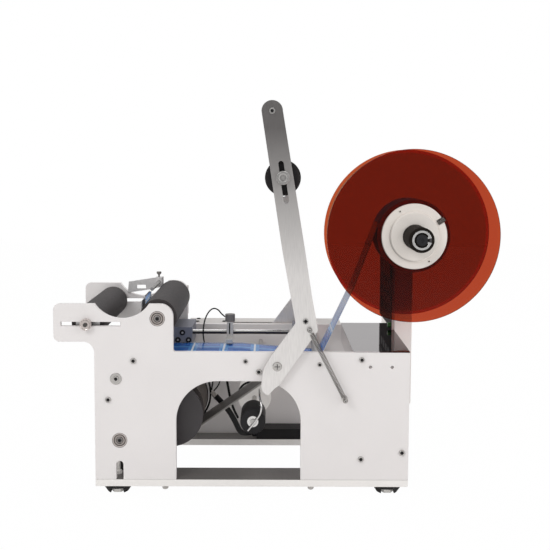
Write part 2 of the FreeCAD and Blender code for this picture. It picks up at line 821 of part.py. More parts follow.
def hub(name, y, toward):
    """Boss and flange outside the disc, and a plug through it that centres the roll's core."""
    plug = s.core_radius - 0.5
    neck = s.core_radius - 2
    bore = s.sleeve_radius + 0.05
    behind = s.flange_thickness + s.disc_thickness
    steps = [
        (bore, -s.boss_height),
        (s.boss_radius - 2, -s.boss_height),
        (s.boss_radius, 2 - s.boss_height),
        (s.boss_radius, 0),
        (s.flange_radius - 1, 0),
        (s.flange_radius, 1),
        (s.flange_radius, s.flange_thickness),
        (neck, s.flange_thickness),
        (neck, behind),
        (plug, behind),
        (plug, behind + 18),
        (bore, behind + 18),
    ]
    body = turned(name, steps, (s.reel_x, y, s.reel_z))
    if toward < 0:
        body.Placement = FreeCAD.Placement(body.Placement.Base, FreeCAD.Rotation(V(1, 0, 0), 90))
    return body


def around_reel(ring, degrees):
    """A spot at a radius and an angle round the reel's axis, in x and z."""
    turn = math.radians(number(degrees))
    return s.reel_x + ring * math.cos(turn), s.reel_z + ring * math.sin(turn)


def clamp_bar(name, start, length):
    """A round bar that points away from the reel's axis, sunk in the front of the flange."""
    x, z = around_reel(start, s.clamp_angle)
    bar = rod(name, s.clamp_radius, (x, flange_face + 1, z), length)
    return put(bar, x, flange_face + 1, z, FreeCAD.Rotation(V(0, 1, 0), 90 - sizes["clamp_angle"]))


disc("near_disc", s.near_disc_y)
disc("far_disc", s.far_disc_y)
flange_face = s.near_disc_y - s.flange_thickness
hollows = [clamp_bar("hub_trough", s.clamp_start, s.flange_radius)]
for i, degrees in enumerate((s.hub_hole_angle, s.hub_hole_angle + 180)):
    x, z = around_reel(s.hub_hole_ring, degrees)
    hollows.append(axle(f"hub_hole_{i}", 1.3, x, z, (flange_face - 1, flange_face + 5)))
node(cut("near_hub", hub("near_hub_blank", flange_face, 1), hollows), "near_hub")
node(hub("far_hub", s.far_disc_y + s.disc_thickness + s.flange_thickness, -1), "far_hub")
node(clamp_bar("hub_clamp_screw", s.clamp_start, s.clamp_length), "hub_clamp_screw")
roll_near = (s.near_disc_y + s.disc_thickness + s.far_disc_y - s.label_width) / 2
roll_y = (roll_near, roll_near + s.label_width)
node(tube("label_roll", s.roll_radius, s.core_radius, *reel, roll_y), "label_roll")

# Label table, peel plate and the block that carries them
table_y = (s.table_near_y, s.table_far_y)
table_z = (s.table_top - s.table_thickness, s.table_top)
leg_x = (s.peel_leg_x, s.peel_leg_x + s.peel_thickness)
flat = block("table_flat", (s.peel_leg_x, s.table_end), table_y, table_z)
leg = profile(
    "peel_leg",
    [
        (leg_x[0], s.table_top),
        (leg_x[1], s.table_top),
        (leg_x[1], s.peel_tip_z - 6),
        (leg_x[1] - 0.3, s.peel_tip_z),
        (leg_x[0] + 0.7, s.peel_tip_z),
        (leg_x[0], s.peel_tip_z - 3),
    ],
    table_y,
)
gap_y = (s.table_near_y - 1, s.table_near_y + 40)
gap_z = (s.table_top - 10, s.peel_tip_z + 1)
relief = block("table_relief", (s.peel_leg_x - 1, s.table_start), gap_y, gap_z)
node(cut("label_table", fuse("table_bent", [flat, leg]), [relief]), "label_table")
block_y = (s.table_far_y, inner_far)
peel_block = block("peel_block", (s.block_start, s.block_end), block_y, (s.block_bottom, s.block_top))

# Sensor on its rod
sensor_hole = s.sensor_rod_radius + 0.05
rod_start = (s.block_end, s.sensor_rod_y, s.sensor_rod_z)
node(rod("sensor_rod", s.sensor_rod_radius, rod_start, s.sensor_rod_end - s.block_end, "x"), "sensor_rod")
holder_x = (s.sensor_rod_end, s.sensor_rod_end + 10)
holder_y = (s.sensor_rod_y - 6, inner_far)
holder = block("rod_holder", holder_x, holder_y, (s.sensor_rod_z - 8, s.sensor_rod_z + 6))
node(group("table_blocks", [peel_block, holder]), "table_blocks")
clamp_x = (s.sensor_x - 5, s.sensor_x + 5)
clamp_y = (s.sensor_rod_y - 8, s.sensor_rod_y + 8)
knob_z = s.sensor_rod_z + 17
clamp = block("sensor_clamp_block", clamp_x, clamp_y, (s.sensor_rod_z - 7, knob_z))
hole = rod("sensor_clamp_hole", sensor_hole, (s.sensor_x - 6, s.sensor_rod_y, s.sensor_rod_z), 12, "x")
node(rod("sensor_knob", s.sensor_knob_radius, (s.sensor_x, s.sensor_rod_y, knob_z), 12, "z"), "sensor_knob")
head_z = (s.table_top + 2.5, s.sensor_rod_z - 7)
head = block("sensor_head", clamp_x, (s.table_far_y - 22, s.sensor_rod_y + 8), head_z)
node(cut("sensor_body", fuse("sensor_blank", [clamp, head]), [hole]), "sensor_body")

# Guide roller, feed roller and its belt and motor
guide = (s.guide_x, s.guide_z)
node(axle("guide_roller", s.guide_radius, *guide, (inner_near + 0.3, inner_far - 0.3)), "guide_roller")
feed = (s.feed_x, s.feed_z)
feed_motor = (s.feed_motor_x, s.feed_motor_z)
feed_pulley_y = s.table_far_y
drum_far = feed_pulley_y - 4
feed_shaft_radius = as_size(3)
feed_drum = axle("feed_drum", s.feed_radius, *feed, (inner_near + 0.3, drum_far))
feed_shaft = axle("feed_journal", feed_shaft_radius, *feed, (drum_far, inner_far - 0.3))
feed_wheel = pulley("feed_pulley_a", *feed, feed_pulley_y, feed_shaft_radius)
node(fuse("feed_roller", [feed_drum, feed_shaft, feed_wheel]), "feed_roller")
motor_start = feed_pulley_y + s.belt_width + 5
motor_body = axle("feed_motor_can", s.feed_motor_radius, *feed_motor, (motor_start, inner_far))
bore_y = (motor_start - 1, motor_start + 12)
motor_bore = axle("feed_motor_bore", feed_shaft_radius + 0.1, *feed_motor, bore_y)
node(cut("feed_motor", motor_body, [motor_bore]), "feed_motor")
motor_pulley = pulley("feed_pulley_b", *feed_motor, feed_pulley_y, feed_shaft_radius)
motor_shaft = axle("feed_motor_pin", feed_shaft_radius, *feed_motor, (feed_pulley_y - 1, motor_start + 10))
node(fuse("feed_motor_shaft", [motor_pulley, motor_shaft]), "feed_motor_shaft")
belt("feed_belt", feed_motor, feed, (feed_pulley_y + 1, feed_pulley_y + 1 + s.belt_width))

# Rewind roll for the backing paper
rewind = (s.rewind_x, s.rewind_z)
wound_y = (s.near_disc_y + s.disc_thickness, s.far_disc_y)
rewind_far = wound_y[1] + 4
spindle_radius = as_size(5)
spindle = axle("rewind_spindle", spindle_radius, *rewind, (s.rewind_near_y - 3, inner_far - 0.3))
near_cheek_y = (s.rewind_near_y, s.rewind_near_y + 4)
far_cheek_y = (rewind_far, rewind_far + 4)
sides = [
    tube("rewind_flange_near", s.rewind_flange_radius, spindle_radius, *rewind, near_cheek_y),
    tube("rewind_flange_far", s.rewind_flange_radius, spindle_radius, *rewind, far_cheek_y),
]
drum = tube("rewind_drum", s.rewind_hub_radius, spindle_radius, *rewind, (near_cheek_y[1], rewind_far))
node(fuse("rewind_spool", [spindle, drum, *sides]), "rewind_spool")
node(tube("wound_backing", s.wound_radius, s.rewind_hub_radius, *rewind, wound_y), "wound_backing")

# Drive motor, its shaft through both bearings, pulley and belt up to the driven roller
drive = (s.drive_x, s.drive_z)
shell = axle("drive_motor_can", s.motor_radius, *drive, (rewind_far + 8, inner_far))
shell_bore = axle("drive_motor_bore", s.journal_radius + 1, *drive, (rewind_far, inner_far + 1))
node(cut("drive_motor", shell, [shell_bore]), "drive_motor")
drive_bar = axle("drive_bar", journal, *drive, (as_size(0.5), pulley_y[1]))
drive_wheel = pulley("drive_wheel", *drive, pulley_y[0], journal)
node(fuse("drive_shaft", [drive_bar, drive_wheel]), "drive_shaft")
belt("drive_belt", drive, (s.driven_x, s.driven_z), (pulley_y[0] + 1, pulley_y[0] + 1 + s.belt_width))

# Small black roller in the arch, on a stud from the far plate
tension = (s.tension_x, s.tension_z)
near_face = as_size(32)
tension_y = (near_face, near_face + s.tension_length)
stud_radius = as_size(4)
node(tube("tension_roller", s.tension_radius, stud_radius + fit, *tension, tension_y), "tension_roller")
bars.append(axle("tension_stud", stud_radius, *tension, (near_face - 2, inner_far)))
node(group("tie_rods", bars), "tie_rods")

# Covers: bright rear cover, slotted side housing, control housing with its panel
cover_x = (s.cover_start, s.plate_length)
cover_z = (s.plate_top, s.plate_top + s.sheet)
cover_top = block("rear_cover_top", cover_x, (as_size(0), s.machine_width), cover_z)
lip_x = (s.cover_start, s.cover_start + s.sheet)
cover_lip = block("rear_cover_lip", lip_x, (inner_near + 1, inner_far - 1), (s.plate_top - 30, s.plate_top))
node(fuse("rear_cover", [cover_top, cover_lip]), "rear_cover")

housing_y = (s.machine_width, housing_far)
outer = block("housing_outer", (s.ear_end, s.cover_start), housing_y, (rail_top, s.plate_top))
hollow = block(
    "housing_hollow",
    (s.ear_end + s.sheet, s.cover_start - s.sheet),
    (s.machine_width - 1, housing_far - s.sheet),
    (rail_top - 1, s.plate_top - s.sheet),
)
window_x = (s.arm_slot_start, s.arm_slot_end)
window_y = (s.machine_width + 1, s.machine_width + 14)
window = block("housing_slot", window_x, window_y, (s.plate_top - 4, s.plate_top + 1))
node(cut("side_housing", outer, [hollow, window]), "side_housing")

control_x = (s.plate_length, s.plate_length + s.control_thickness)
control_y = (s.control_near_y, s.control_far_y)
node(block("control_housing", control_x, control_y, (s.control_bottom, s.control_top)), "control_housing")
panel_face = s.plate_length - s.panel_thickness
panel_y = (control_y[0] + 3, control_y[1] - 3)
panel_z = (s.plate_top + s.sheet, s.control_top - 4)
panel = block("panel_blank", (panel_face, s.plate_length), panel_y, panel_z)
button_spot = (panel_face - s.button_length + 0.5, control_y[0] + 11.5, panel_z[0] + 6.7)
button_hole = rod("button_hole", s.button_radius + 0.05, button_spot, 12, "x")
node(cut("control_panel", panel, [button_hole]), "control_panel")

# Bottle stop on the far plate: bracket, block, sliding rod and thumb screw
bracket_outline = [
    (s.stop_x - 54, s.stop_z - 20),
    (s.stop_x - 14, s.stop_z - 14),
    (s.stop_x + 7, s.stop_z - 9),
    (s.stop_x + 7, s.stop_z + 8),
    (s.stop_x - 8, s.stop_z + 6),
    (s.stop_x - 52, s.stop_z - 1),
]
bracket_slot = [
    (s.stop_x - 38, s.stop_z - 12.5),
    (s.stop_x - 23, s.stop_z - 12.5),
    (s.stop_x - 23, s.stop_z - 6.5),
    (s.stop_x - 38, s.stop_z - 6.5),
]
bracket = profile("stop_bracket_sheet", bracket_outline, (inner_far - 2, inner_far), holes=[bracket_slot])
stop_block_x = (s.stop_x - 5, s.stop_x + 5)
stop_block_y = (inner_far - 13, inner_far - 2)
stop_block = block("stop_block_blank", stop_block_x, stop_block_y, (s.stop_z - 4.8, s.stop_z + 8))
stop_hole = axle("stop_hole", s.stop_rod_radius + 0.05, s.stop_x, s.stop_z, (inner_far - 14, inner_far + 1))
node(cut("stop_bracket", fuse("stop_bracket_blank", [bracket, stop_block]), [stop_hole]), "stop_bracket")
stop_rod_y = (s.stop_near_y, s.machine_width + 5)
node(axle("stop_rod", s.stop_rod_radius, s.stop_x, s.stop_z, stop_rod_y), "stop_rod")
node(rod("stop_thumb_screw", 4, (s.stop_x, inner_far - 7.5, s.stop_z + 8), 9, "z"), "stop_thumb_screw")


def tangent_points(stops):
    """The points where a web leaves one stop and meets the next.

    A stop is (x, z, r): a round thing at x, z that the web passes on its right-hand side at
    distance r, or on its left-hand side where r is negative."""
    points = []
    for (ax, az, ar), (bx, bz, br) in zip(stops, stops[1:]):
        gap = math.hypot(bx - ax, bz - az)
        heading = math.atan2(bz - az, bx - ax) + math.asin((ar - br) / gap)
        right = V(math.sin(heading), 0, -math.cos(heading))
        points.append((V(ax, 0, az) + right * ar, V(bx, 0, bz) + right * br, right))
    return points


def web_side(stops, shift):
    """One side of the web as lines and arcs, shifted from its middle."""
    moved = [(x, z, r + shift) for x, z, r in stops]
    runs = tangent_points(moved)
    edges = []
    for i, (start, end, right) in enumerate(runs):
        edges.append(Part.LineSegment(start, end).toShape())
        if i + 1 < len(runs):
            x, z, r = moved[i + 1]
            leave, _, onward = runs[i + 1]
            middle = V(x, 0, z) + (right + onward).normalize() * r
            edges.append(Part.Arc(end, middle, leave).toShape())
    return edges, runs[0][0], runs[-1][1]


def web(name, stops, y):
    """A strip of material pulled round its rollers, of the label width."""
    stops = [(number(x), number(z), number(r)) for x, z, r in stops]
    half = sizes["web_thickness"] / 2
    right, first_right, last_right = web_side(stops, half)
    left, first_left, last_left = web_side(stops, -half)
    caps = [Part.LineSegment(first_left, first_right), Part.LineSegment(last_left, last_right)]
    outline = Part.Wire(Part.__sortEdges__([*right, *left, *[cap.toShape() for cap in caps]]))
    obj = doc.addObject("Part::Feature", name)
    obj.Shape = Part.Face(outline).extrude(V(0, number(as_size(y[1]) - y[0]), 0))
    put(obj, as_size(0), y[0], as_size(0))
    return node(obj, name)


# Label web from the roll, under the guide roller, over the table and up to the peel edge
lift = s.web_thickness / 2 + 0.1
corner = 4
web(
    "label_web",
    [
        (s.reel_x, s.reel_z, s.roll_radius + lift),
        (s.reel_x - s.slack_behind, s.reel_z + s.slack_rise, -s.slack_radius),
        (s.guide_x, s.guide_z, -(s.guide_radius + lift)),
        (s.table_end, s.table_top - 1, 1 + lift),
        (leg_x[1] + lift + corner, s.table_top + lift + corner, as_size(-corner)),
        (leg_x[1] + lift, s.peel_tip_z + 1, as_size(0)),
    ],
    roll_y,
)
# Backing paper from the peel edge down, under the table, round the feed roller to the rewind roll
under_table = s.feed_z + s.feed_radius + lift
web(
    "backing_web",
    [
        (leg_x[0] - lift - 0.2, s.peel_tip_z + 1, as_size(0)),
        (leg_x[0] - lift - 0.2 + corner, under_table + corner, as_size(corner)),
        (s.feed_x, s.feed_z, -(s.feed_radius + lift)),
        (s.rewind_x, s.rewind_z, -(s.wound_radius + lift)),
        (s.rewind_x - 12, s.rewind_z - s.wound_radius - lift, as_size(0)),
    ],
    roll_y,
)


def lead(name, route, radius):
    """A cable: straight runs joined by arcs as large as the runs allow, swept with a circle."""
    spots = [V(*point) for point in route]
    edges = []
    last = spots[0]
    for before, spot, after in zip(spots, spots[1:], spots[2:]):
        back = before - spot
        ahead = after - spot
        reach = 0.45 * min(back.Length, ahead.Length)
        half = back.getAngle(ahead) / 2
        bend = reach * math.tan(half)
        print(f"{name}: bend radius {bend:.1f}")
        back.normalize()
        ahead.normalize()
        middle = (back + ahead).normalize() * (bend / math.sin(half) - bend)
        edges.append(Part.LineSegment(last, spot + back * reach).toShape())
        edges.append(Part.Arc(spot + back * reach, spot + middle, spot + ahead * reach).toShape())
        last = spot + ahead * reach
    edges.append(Part.LineSegment(last, spots[-1]).toShape())
    path = Part.Wire(edges)
    ring = Part.Wire(Part.makeCircle(number(radius), spots[0], spots[1] - spots[0]))
    obj = doc.addObject("Part::Feature", name)
    obj.Shape = path.makePipeShell([ring], True, False)
    put(obj, as_size(0), as_size(0), as_size(0))
    return obj


# The sensor's lead falls behind the table and meets a connector that leans down to the rear
plug_start = (218.5, 151.5, 118.5)
plug_end = (226.5, 151.5, 110.5)
gland_start = (284, 205, 35.2)
sensor_route = [
    (240.8, 158, 241),
    (235, 157.5, 245.5),
    (230, 156.5, 253),
    (221, 155.5, 256),
    (212, 154, 247),
    (206.5, 153, 231),
    (205, 152.5, 213),
    (208, 152.5, 196),
    (215, 152.5, 178),
    (226, 152, 160),
    (233, 151.5, 145),
    (232, 151.5, 129.2),
    (222.8, 151.5, 120),
]
node(lead("sensor_lead", sensor_route, s.sensor_lead_radius), "sensor_lead")
plug = rod("lead_plug", 4, plug_start, math.dist(plug_start, plug_end), "z")
plug = put(plug, *plug_start, FreeCAD.Rotation(V(0, 1, 0), 135))
supply_route = [
    (225.5, 151.5, 111.5),
    (234, 151.5, 103),
    (247.5, 152, 87),
    (258, 156, 67),
    (264, 170, 47),
    (272, 190, 37),
    (285, 205, 35.2),
]
sleeve = lead("supply_sleeve", supply_route, s.lead_radius)
gland = rod("supply_gland", s.lead_radius + 2, gland_start, s.supply_start - gland_start[0], "x")
node(fuse("supply_lead", [plug, sleeve, gland]), "supply_lead")
supply_z = (rail_top, rail_top + s.supply_height)
supply_y = (s.far_rail_start, inner_far)
node(block("supply_box", (s.supply_start, s.supply_end), supply_y, supply_z), "supply_box")

# Guard over the belt outside the far plate
guard_y = (s.machine_width, pulley_y[1] + 4)
guard = [(68, 62), (118, 62), (173, 232), (173, 280), (136, 280), (68, 105)]
hollow = [(70, 64), (116.5, 64), (171, 232.5), (171, 278), (137.4, 278), (70, 104.6)]
shell = profile("belt_guard_shell", guard, guard_y)
inside = profile("belt_guard_inside", hollow, (guard_y[0] - 1, guard_y[1] - s.sheet))
node(cut("belt_guard", shell, [inside]), "belt_guard")

# Start button and display on the control panel
edge = 0.8
cap = [
    (0, 0),
    (s.button_radius - edge, 0),
    (s.button_radius, edge),
    (s.button_radius, s.button_length),
    (0, s.button_length),
]
node(turned("start_button", cap, button_spot, "x"), "start_button")
display_y = (control_y[0] + 17.5, control_y[1] - 16)
display_z = (s.control_top - 105, s.control_top - 67)
node(block("display", (panel_face - 2, panel_face), display_y, display_z), "display")

doc.recompute()
for obj in doc.Objects:
    if "Invalid" in obj.State or "Error" in obj.State:
        raise SystemExit(f"{obj.Name} failed: {obj.State}")
os.makedirs("parts", exist_ok=True)
labels = [obj.Label for obj in nodes]
if len(set(labels)) != len(labels) or len(labels) > 60:
    raise SystemExit(f"{len(labels)} nodes, {len(set(labels))} names")
for obj in nodes:
    if obj.Shape.isNull() or not obj.Shape.isValid() or not obj.Shape.Solids:
        raise SystemExit(f"{obj.Label} has no valid solid")
for obj in nodes:
    obj.Shape.exportStep(f"parts/{obj.Label}.step")
print(len(nodes), "nodes written")
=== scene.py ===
import json
import math

import bmesh
import bpy
import numpy as np
from mathutils import Matrix

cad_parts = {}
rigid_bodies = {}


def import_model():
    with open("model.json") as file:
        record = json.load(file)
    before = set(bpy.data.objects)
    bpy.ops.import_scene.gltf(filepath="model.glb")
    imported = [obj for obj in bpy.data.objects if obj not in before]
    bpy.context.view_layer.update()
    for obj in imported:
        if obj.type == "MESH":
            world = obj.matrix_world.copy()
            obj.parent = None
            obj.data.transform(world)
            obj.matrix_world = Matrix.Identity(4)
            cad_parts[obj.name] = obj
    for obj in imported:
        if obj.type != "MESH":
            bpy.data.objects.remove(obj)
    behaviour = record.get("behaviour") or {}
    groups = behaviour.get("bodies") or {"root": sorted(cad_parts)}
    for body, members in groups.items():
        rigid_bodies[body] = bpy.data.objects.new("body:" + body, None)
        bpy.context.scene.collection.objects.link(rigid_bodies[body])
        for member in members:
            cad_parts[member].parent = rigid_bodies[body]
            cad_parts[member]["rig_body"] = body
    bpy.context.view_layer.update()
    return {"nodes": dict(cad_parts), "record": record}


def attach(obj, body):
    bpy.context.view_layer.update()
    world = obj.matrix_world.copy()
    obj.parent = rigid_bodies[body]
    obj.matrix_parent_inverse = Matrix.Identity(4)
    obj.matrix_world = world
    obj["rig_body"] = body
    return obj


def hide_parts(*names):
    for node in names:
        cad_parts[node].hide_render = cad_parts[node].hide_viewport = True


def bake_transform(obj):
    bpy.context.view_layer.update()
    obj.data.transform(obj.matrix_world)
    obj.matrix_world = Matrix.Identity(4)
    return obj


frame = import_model()
nodes = frame["nodes"]
slotOf = {row["node"]: row["material_slot"] for row in frame["record"]["subparts"]}
dressed = set()  # CAD nodes that a piece of this script stands for
print("frame loaded:", len(nodes), "nodes")

# Places below are the machine's own stations in mm: x from the tongue's tip, y from the near plate, z from the bench
machineOrigin = np.array([-332.5, -159.0, 0.0])
# Axles and posts as seen from the side, x and z
axles = {"reel": (532.5, 380.5), "rewind": (164.5, 112.4), "blackRoller": (288.8, 104), "frontRoller": (47.8, 256.9),
         "armPivot": (324.7, 197.8), "armBar": (365.2, 264.0), "handle": (315.8, 564.0), "springTop": (371, 252),
         "springLow": (423.4, 148.8)}
# Outer faces of the plates and of the arms: y, and -1 where the face looks to the near side
plateFaces, armFaces = ((0, -1), (235, 1)), ((-10, -1), (245, 1))


def onAxle(name, y):  # the station on a named axle at depth y
    x, z = axles[name]
    return x, y, z


def station(points):  # stations in mm to the frame in metres
    return (np.asarray(points, float) + machineOrigin) / 1000


def tint(red, green, blue):  # a screen colour, 0 to 255, to the linear numbers of a shader
    shown = np.array([red, green, blue]) / 255
    linear = np.where(shown <= 0.04045, shown / 12.92, ((shown + 0.055) / 1.055) ** 2.4)
    return (*[float(v) for v in linear], 1.0)


def addObject(name, data):
    made = bpy.data.objects.new(name, data)
    bpy.context.scene.collection.objects.link(made)
    return made


def unit(vector):
    return np.asarray(vector, float) / np.linalg.norm(vector)


# Camera: in front of the near plate, slightly above the machine's middle, looking a little down; turns in degrees
cameraSettings = {"place": (314.4, -1275.72, 490.47), "pitch": 4.5957, "yaw": 0.27896, "roll": 0.27493,
                  "lens": 58.27, "sensor": 36.0, "shiftY": -0.07327}


def makeCamera(settings):
    pitch, yaw, roll = (math.radians(settings[key]) for key in ("pitch", "yaw", "roll"))
    ahead = np.array([math.sin(yaw) * math.cos(pitch), math.cos(yaw) * math.cos(pitch), -math.sin(pitch)])
    level = np.array([math.cos(yaw), -math.sin(yaw), 0.0])
    up = np.cross(level, ahead)
    right = math.cos(roll) * level + math.sin(roll) * up
    top = math.cos(roll) * up - math.sin(roll) * level
    data = bpy.data.cameras.new("camera")
    data.lens, data.sensor_width, data.shift_y = settings["lens"], settings["sensor"], settings["shiftY"]
    camera = addObject("camera", data)
    turn = Matrix(np.column_stack([right, top, -ahead]).tolist()).to_4x4()
    camera.matrix_world = Matrix.Translation(station(settings["place"]).tolist()) @ turn
    bpy.context.scene.camera = camera


makeCamera(cameraSettings)
bpy.context.scene.view_settings.view_transform = "Standard"


# Node helpers for the materials
def newMaterial(name):
    material = bpy.data.materials.new(name)
    material.use_nodes = True
    tree = material.node_tree
    return material, tree, tree.nodes["Principled BSDF"]


def feed(tree, node, inputs):  # plain values are set, other nodes' sockets are linked
    for key, value in inputs.items():
        if isinstance(value, bpy.types.NodeSocket):
            tree.links.new(value, node.inputs[key])
        else:
            node.inputs[key].default_value = value


def addNode(tree, kind, inputs=None, **values):
    made = tree.nodes.new(kind)
    for key, value in values.items():
        setattr(made, key, value)
    feed(tree, made, inputs or {})
    return made


def objectPoint(tree, scale):
    place = addNode(tree, "ShaderNodeTexCoord")
    return addNode(tree, "ShaderNodeMapping", {"Vector": place.outputs["Object"], "Scale": scale}).outputs["Vector"]


def noise(tree, scale, detail=3.0):
    inputs = {"Vector": objectPoint(tree, scale), "Scale": 1.0, "Detail": detail}
    return addNode(tree, "ShaderNodeTexNoise", inputs).outputs["Fac"]


def maths(tree, operation, *values):
    return addNode(tree, "ShaderNodeMath", dict(enumerate(values)), operation=operation).outputs[0]


def objectAxis(tree, axis):  # one coordinate of the point, in metres
    place = addNode(tree, "ShaderNodeTexCoord").outputs["Object"]
    return addNode(tree, "ShaderNodeSeparateXYZ", {0: place}).outputs[axis]


def along(tree, vector, way):  # how far a vector goes in a direction
    return addNode(tree, "ShaderNodeVectorMath", {0: vector, 1: way}, operation="DOT_PRODUCT").outputs["Value"]


def spread(tree, value, low, high, start=0.3, end=0.7):  # brings a pattern's start..end to low..high
    return addNode(tree, "ShaderNodeMapRange", {"Value": value, 1: start, 2: end, 3: low, 4: high}).outputs[0]


def mixColour(tree, share, first, second):
    return addNode(tree, "ShaderNodeMix", {0: share, 6: first, 7: second}, data_type="RGBA").outputs[2]


def addBump(tree, shader, height, strength, distance=0.0002):
    bump = addNode(tree, "ShaderNodeBump", {"Height": height, "Strength": strength, "Distance": distance})
    tree.links.new(bump.outputs["Normal"], shader.inputs["Normal"])


# A finish: wide mottle and grain in the colour, grain in the gloss and in the bump. "facing" gives faces that look
# one way another colour (painted shade on most finishes, the panel's own dark face on panelFace), "beyond" does so
# past a plane (a painted reflection on the mirror sheet), and "glow" is painted light, a little light of the finish's
# own.
def makeFinish(name, look):
    material, tree, shader = newMaterial(name)
    colour = look["colour"]
    darker = tuple(c * look["darker"] for c in colour[:3]) + (1.0,)
    mottle = noise(tree, look.get("mottle", (14, 14, 14)), 4.0)
    grain = noise(tree, look.get("grain", (600, 600, 600)))
    surface = mixColour(tree, spread(tree, maths(tree, "ADD", mottle, grain), 0, 1, 0.75, 1.25), darker, colour)
    sources = {"facing": ("ShaderNodeNewGeometry", "Normal"), "beyond": ("ShaderNodeTexCoord", "Object")}
    for key, (kind, output) in sources.items():
        if key in look:
            part = look[key]
            reach = along(tree, addNode(tree, kind).outputs[output], part["way"])
            surface = mixColour(tree, spread(tree, reach, 0, 1, *part["edge"]), surface, part["colour"])
    feed(tree, shader, {"Base Color": surface, "Roughness": spread(tree, grain, *look["roughness"]),
                        "Metallic": look.get("metal", 0.0), "Specular IOR Level": look.get("specular", 0.5),
                        "Coat Weight": look.get("coat", 0.0), "Coat Roughness": look.get("coatRoughness", 0.1)})
    if "glow" in look:
        feed(tree, shader, {"Emission Color": surface, "Emission Strength": look["glow"]})
    addBump(tree, shader, grain, look["bump"])
    return material


def newLook(colour, darker, roughness, bump, **more):
    return {"colour": tint(*colour), "darker": darker, "roughness": roughness, "bump": bump, **more}


